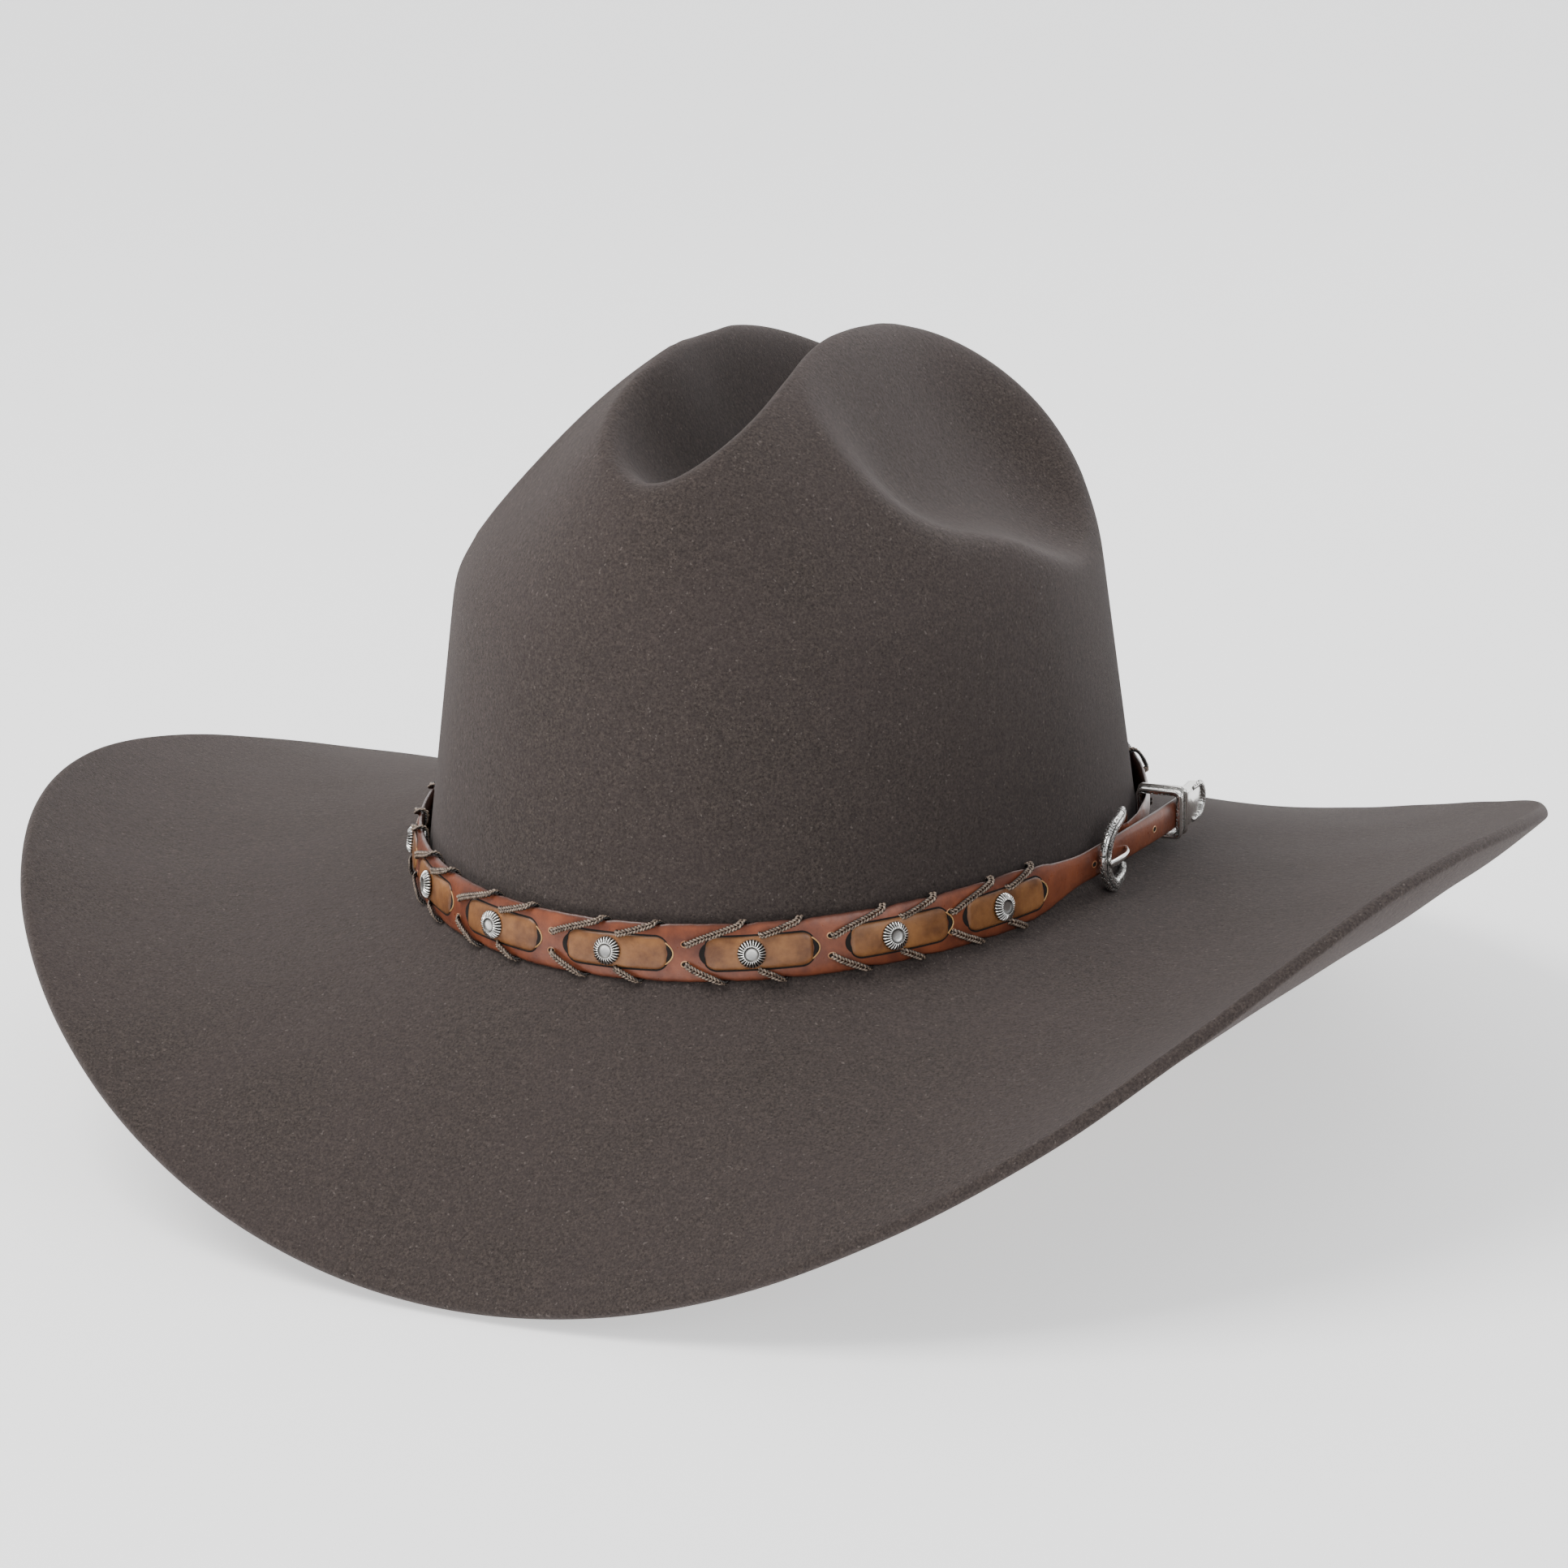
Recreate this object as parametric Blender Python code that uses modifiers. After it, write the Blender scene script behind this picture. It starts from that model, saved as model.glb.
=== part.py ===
"""A felt western hat with a cattleman crown and a laced leather hatband, built as separate pieces.

The frame is +Z up, with the hat's front towards -Y and the wearer's left towards +X. The origin is the
centre of the head opening at the height of the break, where the crown meets the brim. Sizes are in
millimetres in the named constants and become metres when a mesh is made.
"""

from math import atan2, cos, degrees, pi, radians, sin

import bmesh
import bpy
import numpy as np
from mathutils import Matrix, Vector

MM = 0.001

# The break and the crown's wall. phi is the angle round the hat, from the front towards the wearer's left.
BREAK_X = 90.0
BREAK_Y = 106.0
BREAK_DIP = 1.4
SHOULDER_X = 80.0
SHOULDER_Y = 97.5
SHOULDER_Z = 77.0
CROWN_BACKSET = 2.5
LEAN_X = (BREAK_X - SHOULDER_X) / SHOULDER_Z
LEAN_Y = (BREAK_Y - SHOULDER_Y) / SHOULDER_Z

# The crown's top: a dome, cut back by two side dents and a centre groove with rounded ridges between.
DOME_H = 59.0
DOME_PLAN_POWER = 3.2
DOME_RISE_POWER = 2.3
DOME_TILT = 0.09
DOME_ROLL = 0.04
FRONT_PINCH = 0.24
BACK_PINCH = 0.05
DENT_EDGE_X = 74.0
DENT_FLOOR_Z = 78.0
DENT_CENTRE_Y = 2.0
DENT_REACH_FRONT = 58.0
DENT_REACH_BACK = 56.0
DENT_END_RISE = 28.0
GROOVE_FLOOR_Z = 101.0
GROOVE_END_RISE = 12.0
GROOVE_REACH = 76.0
GROOVE_FLARE = 0.075
GROOVE_PINCH = 0.03
RIDGE_ROUND = 12.0
DENT_ROUND = 8.0

# The brim: its width, its mean slope and its slope at the break, each a short cosine series in phi.
BRIM_ROOT_X = 89.0
BRIM_ROOT_Y = 105.0
FELT_T = 3.5

# What lies inside the crown, by its depth in from the outer felt face.
LINING_SIDE_DEPTH = 4.15
LINING_TIP_X = 76.0
LINING_TIP_Y = 94.0
LINING_TIP_Z = 58.0
LINING_TIP_RISE = 30.0
LINING_T = 0.3
PROTECTOR_GAP = 0.9
PROTECTOR_T = 0.25
WELT_T = 0.35
WELT_OUTER_DEPTH = 5.3
WELT_INNER_DEPTH = 7.1
SWEATBAND_DEPTH = 5.6
SWEATBAND_T = 1.2
SWEATBAND_FOOT_Z = 0.9
SWEATBAND_TOP_Z = 43.0
REED_R = 0.7
REED_Z = -0.4

# The hatband's strap: its mid line is an oval that leaves the crown as a gently curved billet.
STRAP_T = 1.8
STRAP_OFF = 2.6
STRAP_HALF_W = 6.8
STRAP_Z = 8.2
BILLET_HALF_W = 3.9
BAND_X = BREAK_X - LEAN_X * STRAP_Z + STRAP_OFF
BAND_Y = BREAK_Y - LEAN_Y * STRAP_Z + STRAP_OFF
BAND_BACKSET = CROWN_BACKSET * STRAP_Z / SHOULDER_Z
LEAVE_PHI = radians(70.0)
BILLET_BEND_R = 240.0
BILLET_FALL = 0.013
BILLET_ARCH = 1.45
BILLET_SPAN = 80.0
NARROWING = (-16.0, 14.0)
BAR_AT = 39.5
BAR_DROP = 3.15
BILLET_END = 77.5
HOLE_AT = (17.5, 50.0)
HOLE_R = 1.6
PRONG_HOLE_AT = 34.7
PRONG_HOLE_HALF_L = 3.1
CHAPE_T = 0.8
CHAPE_R = 1.55
CHAPE_FOLD = 8.0
CHAPE_HALF_W = 4.3

# The decorated units: a concho on a tab of the inlay strip, repeated round the band.
CONCHOS = 15
FIRST_CONCHO_PHI = radians(59.5)
FIRST_PITCH = 31.5
PITCH = 34.9
TAB_L = 27.0
TAB_SHARE_FRONT = 0.43
INLAY_T = 0.7
INLAY_HALF_W = 4.0
INLAY_OFF = 1.7
LACE_R = 0.5
LACE_TAIL = 33.0
CONCHO_R = 3.8
SHANK_R = 0.9
CONCHO_HOLE_R = 1.3

# The buckle set.
FRAME_L = 20.0
FRAME_HALF_H = 7.2
FRAME_RISE = 5.2
KEEPER_AT = 67.0
KEEPER_L = 5.5
TIP_FROM = 73.0
TIP_L = 14.5


def smooth_min(a, b, blend):
    """The lower of two heights, with the corner between them rounded."""
    share = np.clip(0.5 + 0.5 * (b - a) / blend, 0, 1)
    return b * (1 - share) + a * share - blend * share * (1 - share)


def crown_heights(phi, reach):
    """Plan points of the crown's top, with its dented height there and the groove's height there."""
    dome = DOME_H * np.clip(1 - reach**DOME_PLAN_POWER, 0, 1) ** (1 / DOME_RISE_POWER)
    pinch = np.where(np.cos(phi) > 0, FRONT_PINCH, BACK_PINCH)
    plan = reach * (1 - pinch * dome / DOME_H * np.sin(2 * phi) ** 2)
    x = np.sin(phi) * plan * (SHOULDER_X - LEAN_X * dome)
    y = CROWN_BACKSET - np.cos(phi) * plan * (SHOULDER_Y - LEAN_Y * dome)
    full = SHOULDER_Z + dome * (1 - DOME_TILT * y / SHOULDER_X) + DOME_ROLL * x * dome / DOME_H
    inward = DENT_EDGE_X - abs(x)
    end = np.where(
        y < DENT_CENTRE_Y,
        (DENT_CENTRE_Y - y) / DENT_REACH_FRONT,
        (y - DENT_CENTRE_Y) / DENT_REACH_BACK,
    )
    dent = DENT_FLOOR_Z + 0.25 * inward + 0.0175 * inward * abs(inward) + DENT_END_RISE * end**4
    flare = GROOVE_FLARE + GROOVE_PINCH * np.exp(-(((y + 25) / 20) ** 2))
    end = abs(y - CROWN_BACKSET) / GROOVE_REACH
    groove = GROOVE_FLOOR_Z + GROOVE_END_RISE * end**4 + flare * x**2
    return x, y, smooth_min(full, dent, DENT_ROUND), groove


def crown_top(phi, reach):
    """Points of the crown's top: reach is 1 at the shoulder and 0 at the centre."""
    x, y, dented, groove = crown_heights(phi, reach)
    return np.stack([x, y, smooth_min(dented, groove, RIDGE_ROUND)], -1)


def ridge_reach(phi):
    """The reach at which the groove's side meets the top, all round the groove."""
    reach = np.linspace(1, 0.02, 393)[:, None]
    _, _, dented, groove = crown_heights(phi[None, :], reach)
    return reach[np.argmax(groove < dented, axis=0), 0]


def top_rings(phi, outer, inner):
    """Rings over the crown's top: some from the shoulder in to the ridges, then some down the groove."""
    ridge = ridge_reach(phi)
    rings = [crown_top(phi, ridge + (1 - ridge) * cos(radians(a))) for a in outer]
    return rings + [crown_top(phi, ridge * share) for share in inner]


def crown_wall(phi, share):
    """Points of the crown's wall: share is 0 at the break and 1 at the shoulder."""
    foot = np.stack([BREAK_X * np.sin(phi), -BREAK_Y * np.cos(phi), -BREAK_DIP * np.cos(2 * phi)], -1)
    return foot * (1 - share) + crown_top(phi, 1.0) * share


def brim_series(phi):
    """The brim's width, its mean slope, its slope at the break and how late it curls, at each phi."""
    c1, c2, c3, c4, c6 = (np.cos(k * phi) for k in (1, 2, 3, 4, 6))
    s1, s2, s3 = (np.sin(k * phi) for k in (1, 2, 3))
    width = 99.0 - 1.4 * c1 - 5.7 * c2 + 1.5 * c4 - 1.3 * s1 - 0.7 * s2
    mean = -10.5 + 0.3 * c1 - 20.6 * c2 - 5.5 * c3 - 0.7 * c4 + 0.45 * c6 + 4.5 * s1 - 0.3 * s2 + s3
    root = -17.0 - 9.0 * c2
    power = 1.7 - 0.6 * c2 - 0.3 * c4
    return width, np.radians(mean), np.radians(root), power


def brim(phi, share, steps=40):
    """Points of the brim's upper face: share is 0 at the break and 1 at the edge."""
    width, mean, root, power = brim_series(phi)
    edge = root + (mean - root) * (power + 1)
    along = np.linspace(0, 1, steps + 1)[:, None]
    slope = root + (edge - root) * along**power
    start = np.zeros((1, len(phi)))
    run = np.concatenate([start, np.cumsum((np.cos(slope[1:]) + np.cos(slope[:-1])) / 2, 0)])
    rise = np.concatenate([start, np.cumsum((np.sin(slope[1:]) + np.sin(slope[:-1])) / 2, 0)])
    at = share * steps
    low = min(int(at), steps - 1)
    part = at - low
    out = (run[low] * (1 - part) + run[low + 1] * part) / run[-1] * width * np.cos(mean)
    up = (rise[low] * (1 - part) + rise[low + 1] * part) / steps * width
    up = up + (np.sin(mean) - rise[-1] / steps) * width * share
    normal = np.stack([BREAK_Y * np.sin(phi), -BREAK_X * np.cos(phi)], -1)
    normal = normal / np.linalg.norm(normal, axis=1)[:, None]
    root_x = BREAK_X * (1 - share) + BRIM_ROOT_X * share
    root_y = BREAK_Y * (1 - share) + BRIM_ROOT_Y * share
    x = root_x * np.sin(phi) + out * normal[:, 0]
    y = -root_y * np.cos(phi) + out * normal[:, 1]
    return np.stack([x, y, up - BREAK_DIP * np.cos(2 * phi)], -1)


def inside(phi, depth, z):
    """Points inside the crown at a depth in from its outer face, z above the break."""
    x = (BREAK_X - LEAN_X * z - depth) * np.sin(phi)
    y = CROWN_BACKSET * z / SHOULDER_Z - (BREAK_Y - LEAN_Y * z - depth) * np.cos(phi)
    return np.stack([x, y, z - BREAK_DIP * np.cos(2 * phi)], -1)


def lining_top(phi, reach):
    """Points of the lining's top, a shallow dish that hangs clear of the creases: reach is 1 at its rim."""
    x = LINING_TIP_X * reach * np.sin(phi)
    y = CROWN_BACKSET - LINING_TIP_Y * reach * np.cos(phi)
    return np.stack([x, y, LINING_TIP_Z + LINING_TIP_RISE * (1 - reach**2.2) ** 0.7 + 0 * x], -1)


def ease(value, start, end):
    """A smooth step from 0 at the start to 1 at the end."""
    share = min(1.0, max(0.0, (value - start) / (end - start)))
    return share * share * (3 - 2 * share)


def around(count):
    return np.linspace(-pi, pi, count, endpoint=False)


def material(name, colour, roughness, metallic=0.0, alpha=1.0):
    made = bpy.data.materials.new(name)
    made.use_nodes = True
    shader = made.node_tree.nodes["Principled BSDF"]
    shader.inputs["Base Color"].default_value = (*colour, 1)
    shader.inputs["Roughness"].default_value = roughness
    shader.inputs["Metallic"].default_value = metallic
    shader.inputs["Alpha"].default_value = alpha
    made.diffuse_color = (*colour, alpha)
    return made


def collection(name):
    made = bpy.data.collections.new(name)
    bpy.context.scene.collection.children.link(made)
    return made


def place(obj, finish, group):
    group.objects.link(obj)
    if finish is not None:
        obj.data.materials.append(finish)
    return obj


def mesh_object(name, bm, finish, group, smooth=True, closed=True):
    """The bmesh, in millimetres, as an object in metres. A closed one is made to face out."""
    bm.transform(Matrix.Scale(MM, 4))
    if closed:
        bmesh.ops.recalc_face_normals(bm, faces=bm.faces)
        if bm.calc_volume(signed=True) < 0:
            bmesh.ops.reverse_faces(bm, faces=bm.faces)
    mesh = bpy.data.meshes.new(name)
    bm.to_mesh(mesh)
    bm.free()
    if smooth:
        mesh.shade_smooth()
        mesh.set_sharp_from_angle(angle=radians(40))
    return place(bpy.data.objects.new(name, mesh), finish, group)


def hollow_out(obj, thickness):
    """Gives an open surface its thickness, on the side away from its normals."""
    solid = obj.modifiers.new("thickness", "SOLIDIFY")
    solid.thickness = thickness * MM
    solid.offset = -1


def skin(name, rings, thickness, finish, group, apex=None, closed=True, sink=0.0):
    """An open surface through rings of points, from the outside in, with a thickness under it."""
    bm = bmesh.new()
    rows = [[bm.verts.new(p) for p in ring] for ring in rings]
    count = len(rows[0])
    turns = count if closed else count - 1
    for low, high in zip(rows, rows[1:]):
        for i in range(turns):
            j = (i + 1) % count
            bm.faces.new((low[i], low[j], high[j], high[i]))
    if apex is not None:
        top = bm.verts.new(apex)
        for i in range(count):
            bm.faces.new((rows[-1][i], rows[-1][(i + 1) % count], top))
    bm.normal_update()
    for v, move in [(v, v.normal * sink) for v in bm.verts]:
        v.co -= move
    obj = mesh_object(name, bm, finish, group, closed=False)
    hollow_out(obj, thickness)
    return obj


def sweep(name, path, half_t, z_mid, half_w, lean, finish, group):
    """A strap on edge: a plan path, with a thickness across it and a width up and down."""
    path = np.array(path, float)
    ahead = np.gradient(path, axis=0)
    ahead /= np.linalg.norm(ahead, axis=1)[:, None]
    across = np.stack([ahead[:, 1], -ahead[:, 0]], 1)
    bm = bmesh.new()
    loops = []
    for p, n, t, z, w, tip in zip(path, across, half_t, z_mid, half_w, lean):
        corners = ((1, 1), (1, -1), (-1, -1), (-1, 1))
        spots = [p + n * (side * t - tip * end * w) for side, end in corners]
        loops.append([bm.verts.new((*q, z + end * w)) for q, (_, end) in zip(spots, corners)])
    for low, high in zip(loops, loops[1:]):
        for i in range(4):
            j = (i + 1) % 4
            bm.faces.new((low[i], high[i], high[j], low[j]))
    bm.faces.new(loops[0])
    bm.faces.new(loops[-1][::-1])
    return mesh_object(name, bm, finish, group)


def tube(name, points, radius, finish, group, radii=None, cyclic=False, resolution=1):
    curve = bpy.data.curves.new(name, "CURVE")
    curve.dimensions = "3D"
    spline = curve.splines.new("POLY")
    spline.points.add(len(points) - 1)
    for i, p in enumerate(points):
        spline.points[i].co = (p[0] * MM, p[1] * MM, p[2] * MM, 1)
        spline.points[i].radius = 1.0 if radii is None else radii[i]
    spline.use_cyclic_u = cyclic
    curve.bevel_depth = radius * MM
    curve.bevel_resolution = resolution
    curve.use_fill_caps = not cyclic
    return place(bpy.data.objects.new(name, curve), finish, group)


def cut(obj, cutter, name):
    boolean = obj.modifiers.new(name, "BOOLEAN")
    boolean.operation = "DIFFERENCE"
    boolean.object = cutter


def cylinder(bm, radius, depth, segments, matrix):
    size = {"radius1": radius, "radius2": radius, "depth": depth, "segments": segments}
    return bmesh.ops.create_cone(bm, cap_ends=True, matrix=matrix, **size)


def cutter_object(name, bm, group):
    obj = mesh_object(name, bm, None, group, smooth=False)
    obj.hide_render = True
    obj.display_type = "WIRE"
    return obj


def axes(origin, ahead, across):
    """A frame with its X along ahead, its Y along across and its Z up, at a plan point and height."""
    turn = Matrix((ahead, across, (0, 0, 1))).transposed().to_4x4()
    return Matrix.Translation(origin) @ turn


# ---- The hatband's route --------------------------------------------------------------------------------


def band_point(phi):
    return np.array([BAND_X * sin(phi), BAND_BACKSET - BAND_Y * cos(phi)])


def band_ahead(phi):
    way = np.array([BAND_X * cos(phi), BAND_Y * sin(phi)])
    return way / np.linalg.norm(way)


def right_of(ahead):
    """The outward normal of a plan direction that runs round the hat towards the wearer's left."""
    return np.array([ahead[1], -ahead[0]])


SAMPLES = np.linspace(-2 * pi, pi, 6001)
SAMPLE_POINTS = np.array([band_point(phi) for phi in SAMPLES])
ARC = np.concatenate([[0], np.cumsum(np.linalg.norm(np.diff(SAMPLE_POINTS, axis=0), axis=1))])


def phi_at(arc):
    return float(np.interp(arc, ARC, SAMPLES))


def arc_of(phi):
    return float(np.interp(phi, SAMPLES, ARC))


LEAVE = band_point(LEAVE_PHI)
LEAVE_ARC = arc_of(LEAVE_PHI)


def billet_ahead(distance):
    """The billet's direction, a distance past where it leaves the crown."""
    ahead = band_ahead(LEAVE_PHI)
    turn = distance / BILLET_BEND_R
    x, y = ahead
    return np.array([x * cos(turn) - y * sin(turn), x * sin(turn) + y * cos(turn)])


def billet(distance, off=0.0):
    """A plan point on the billet, off its mid line."""
    middle = LEAVE - right_of(billet_ahead(0.0)) * BILLET_BEND_R
    return middle + right_of(billet_ahead(distance)) * (BILLET_BEND_R + off)


def strap_level(phi):
    return STRAP_Z - BREAK_DIP * cos(2 * phi)


def billet_z(distance):
    return strap_level(LEAVE_PHI) - BILLET_FALL * distance + BILLET_ARCH * sin(pi * distance / BILLET_SPAN)


def billet_frame(distance, lift=0.0):
    """A frame on the billet's mid line: X along it, Y outward, Z up."""
    ahead = billet_ahead(distance)
    return axes((*billet(distance), billet_z(distance) + lift), (*ahead, 0), (*right_of(ahead), 0))


def strap_half_w(distance):
    """The strap's half width near the buckle, by the distance past where it leaves the crown."""
    return STRAP_HALF_W + (BILLET_HALF_W - STRAP_HALF_W) * ease(distance, *NARROWING)


BAR = billet(BAR_AT, -BAR_DROP)
BAR_Z = billet_z(BAR_AT)
BAR_PHI = atan2(BAR[0] / BAND_X, (BAND_BACKSET - BAR[1]) / BAND_Y)


def concho_arcs():
    first = arc_of(FIRST_CONCHO_PHI)
    return [first] + [first - FIRST_PITCH - PITCH * k for k in range(CONCHOS - 1)]


def chape_stations():
    """The strap's fold round the buckle's bar and its way back to the crown: (plan point, half thickness,
    height, half width, lean)."""
    ahead = band_ahead(BAR_PHI)
    out = right_of(ahead)
    found = []
    for back in (CHAPE_FOLD, CHAPE_FOLD / 2, 0.0):
        found.append((BAR + ahead * back - out * CHAPE_R, CHAPE_T / 2, BAR_Z, CHAPE_HALF_W, 0.0))
    for turn in (45, 90, 135):
        a = radians(turn)
        spot = BAR - ahead * sin(a) * CHAPE_R - out * cos(a) * CHAPE_R
        found.append((spot, CHAPE_T / 2, BAR_Z, CHAPE_HALF_W, 0.0))
    for forth in (0.0, CHAPE_FOLD / 2, CHAPE_FOLD):
        found.append((BAR + ahead * forth + out * CHAPE_R, CHAPE_T / 2, BAR_Z, CHAPE_HALF_W, 0.0))
    return found


def strap_stations():
    """The whole strap, from its fold at the bar round the back, right side and front to the tip."""
    found = chape_stations()
    start = BAR_PHI + radians(9.5)
    stop = LEAVE_PHI + 2 * pi
    steps = 72
    bar_off = float((BAR - band_point(BAR_PHI)) @ right_of(band_ahead(BAR_PHI)))
    for k in range(steps + 1):
        phi = start + (stop - start) * k / steps
        turned = degrees(phi - BAR_PHI)
        settle = ease(turned, 8.0, 32.0)
        climb = (BAR_Z - strap_level(BAR_PHI)) * (1 - ease(turned, 0.0, 38.0))
        distance = arc_of(phi - 2 * pi) - LEAVE_ARC
        half_w = CHAPE_HALF_W + (strap_half_w(distance) - CHAPE_HALF_W) * ease(turned, 19.0, 28.0)
        half_t = CHAPE_T / 2 + (STRAP_T - CHAPE_T) / 2 * ease(turned, 17.0, 24.0)
        off = (bar_off + 1.3) * (1 - settle)
        spot = band_point(phi) + right_of(band_ahead(phi)) * off
        lean = LEAN_X * settle
        found.append((spot, half_t, strap_level(phi) + climb, half_w, lean))
    for distance in np.linspace(8.0, BILLET_END, 10):
        lean = LEAN_X * (1 - ease(distance, 0.0, 16.0))
        found.append((billet(distance), STRAP_T / 2, billet_z(distance), strap_half_w(distance), lean))
    return found


def inlay_stations():
    """The inlay strip, in front of the strap on each tab and behind it between them, last unit first."""
    found = []
    tail = 5.0
    for arc in reversed(concho_arcs()):
        low = arc - TAB_L * TAB_SHARE_FRONT
        high = low + TAB_L
        found += [(low - 1.0, -INLAY_OFF), (low + 1.0, INLAY_OFF)]
        found += [(low + TAB_L * share, INLAY_OFF) for share in (0.35, 0.65)]
        found += [(high - 1.0, INLAY_OFF), (high + 1.0, -INLAY_OFF)]
    found = [(found[0][0] - tail, -INLAY_OFF)] + found + [(found[-1][0] + tail * 0.5, -INLAY_OFF)]
    return found


def band_frame(arc, off=0.0):
    """A frame on the strap at an arc length: X along it, Y outward, Z up, off the strap's mid face."""
    phi = phi_at(arc)
    ahead = band_ahead(phi)
    out = right_of(ahead)
    turned = degrees(phi + 2 * pi - BAR_PHI)
    climb = (BAR_Z - strap_level(BAR_PHI)) * (1 - ease(turned, 0.0, 38.0))
    bar_off = float((BAR - band_point(BAR_PHI)) @ right_of(band_ahead(BAR_PHI)))
    stand = (bar_off + 1.3) * (1 - ease(turned, 8.0, 32.0))
    spot = band_point(phi) + out * (off + stand)
    return axes((*spot, strap_level(phi) + climb), (*ahead, 0), (*out, 0))


def lean_back(frame):
    """The same frame tipped so that its Z follows the crown's leaning wall."""
    return frame @ Matrix.Rotation(atan2(LEAN_X, 1.0), 4, "X")


# ---- The pieces ----------------------------------------------------------------------------------------


def build_felt(group):
    felt = material("fur_felt", (0.075, 0.056, 0.048), 0.95)
    phi = around(64)
    rings = [brim(phi, share) for share in np.linspace(1, 0, 9)]
    rings += [crown_wall(phi, share) for share in (0.4, 0.8)]
    rings += top_rings(phi, (1, 14, 27, 40, 52, 64, 75, 83, 90), (0.88, 0.65, 0.35))
    skin("felt_body", rings, FELT_T, felt, group, apex=crown_top(np.zeros(1), 0.0)[0])


def build_inside(group):
    leather = material("sweatband_leather", (0.30, 0.16, 0.08), 0.55)
    tape = material("welt_tape", (0.05, 0.04, 0.035), 0.8)
    plastic = material("reed_plastic", (0.75, 0.72, 0.66), 0.4)
    satin = material("lining_satin", (0.62, 0.52, 0.38), 0.35)
    film = material("clear_film", (0.85, 0.87, 0.88), 0.1, alpha=0.35)
    paper = material("label_paper", (0.82, 0.80, 0.74), 0.8)

    phi = around(40)
    sweat = [inside(phi, SWEATBAND_DEPTH, z) for z in (SWEATBAND_FOOT_Z, 15.0, 29.0, SWEATBAND_TOP_Z)]
    skin("sweatband", sweat, SWEATBAND_T, leather, group)

    middle = (WELT_OUTER_DEPTH + WELT_INNER_DEPTH) / 2
    route = (
        (WELT_OUTER_DEPTH, 4.0),
        (WELT_OUTER_DEPTH, -0.7),
        (middle, -1.95),
        (WELT_INNER_DEPTH, -0.7),
        (WELT_INNER_DEPTH, 4.0),
    )
    skin("reed_welt", [inside(phi, depth, z) for depth, z in route], WELT_T, tape, group)
    reed = inside(phi, middle, REED_Z)
    tube("sweatband_reed", reed, REED_R, plastic, group, cyclic=True)

    side = [inside(phi, LINING_SIDE_DEPTH, z) for z in (8.0, 29.0, 50.0)]
    skin("lining_side", side, LINING_T, satin, group)
    tip = [lining_top(phi, reach) for reach in (1.0, 0.9, 0.75, 0.55, 0.3)]
    centre = lining_top(np.zeros(1), 0.0)[0]
    skin("lining_tip", tip, LINING_T, satin, group, apex=centre)
    skin("tip_protector", tip[3:], PROTECTOR_T, film, group, apex=centre, sink=PROTECTOR_GAP)

    patches = (
        ("sweatband_seam_patch", 180.0, 5.0, (6.5, 20.0, 38.0), 4.9, 0.35, tape),
        ("size_label", 150.0, 4.0, (16.0, 28.0), 4.95, 0.25, paper),
    )
    for name, middle_phi, reach, heights, depth, thickness, finish in patches:
        sector = np.radians(np.linspace(middle_phi - reach, middle_phi + reach, 5))
        rows = [inside(sector, depth, z) for z in heights]
        skin(name, rows, thickness, finish, group, closed=False)
    build_bow(group)


def build_bow(group):
    """The small ribbon bow at the back of the sweatband: two loops drawn in to a knot."""
    ribbon = material("bow_ribbon", (0.06, 0.045, 0.04), 0.5)
    half_w, half_h, half_t, knot = 11.0, 4.0, 1.0, 0.45
    bm = bmesh.new()
    bmesh.ops.create_cube(bm, size=2.0)
    lengthwise = [e for e in bm.edges if abs(e.verts[0].co.x - e.verts[1].co.x) > 1]
    bmesh.ops.subdivide_edges(bm, edges=lengthwise, cuts=5)
    for v in bm.verts:
        reach = abs(v.co.x)
        swell = knot + (1 - knot) * min(1.0, reach / 0.67)
        curve = (v.co.x * half_w) ** 2 / (2 * (BREAK_Y - SWEATBAND_DEPTH))
        v.co = Vector((v.co.x * half_w, v.co.y * half_t * swell - curve, v.co.z * half_h * swell))
    back = inside(np.array([pi]), SWEATBAND_DEPTH + SWEATBAND_T, 9.0)[0]
    bm.transform(Matrix.Translation((0, back[1] - half_t - 1.2, back[2])))
    mesh_object("sweatband_bow", bm, ribbon, group)


def slot_cutters(group):
    """Boxes through the strap at both ends of each tab, and round holes through it at each concho."""
    slots = bmesh.new()
    holes = bmesh.new()
    for arc in concho_arcs():
        low = arc - TAB_L * TAB_SHARE_FRONT
        for end in (low, low + TAB_L):
            box = lean_back(band_frame(end)) @ Matrix.Diagonal((3.4, 4.0, 2 * INLAY_HALF_W + 0.8, 1))
            bmesh.ops.create_cube(slots, size=1.0, matrix=box)
        spot = lean_back(band_frame(arc)) @ Matrix.Rotation(pi / 2, 4, "X")
        cylinder(holes, CONCHO_HOLE_R, 7.0, 8, spot)
    return cutter_object("tab_slots", slots, group), cutter_object("concho_holes", holes, group)


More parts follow.
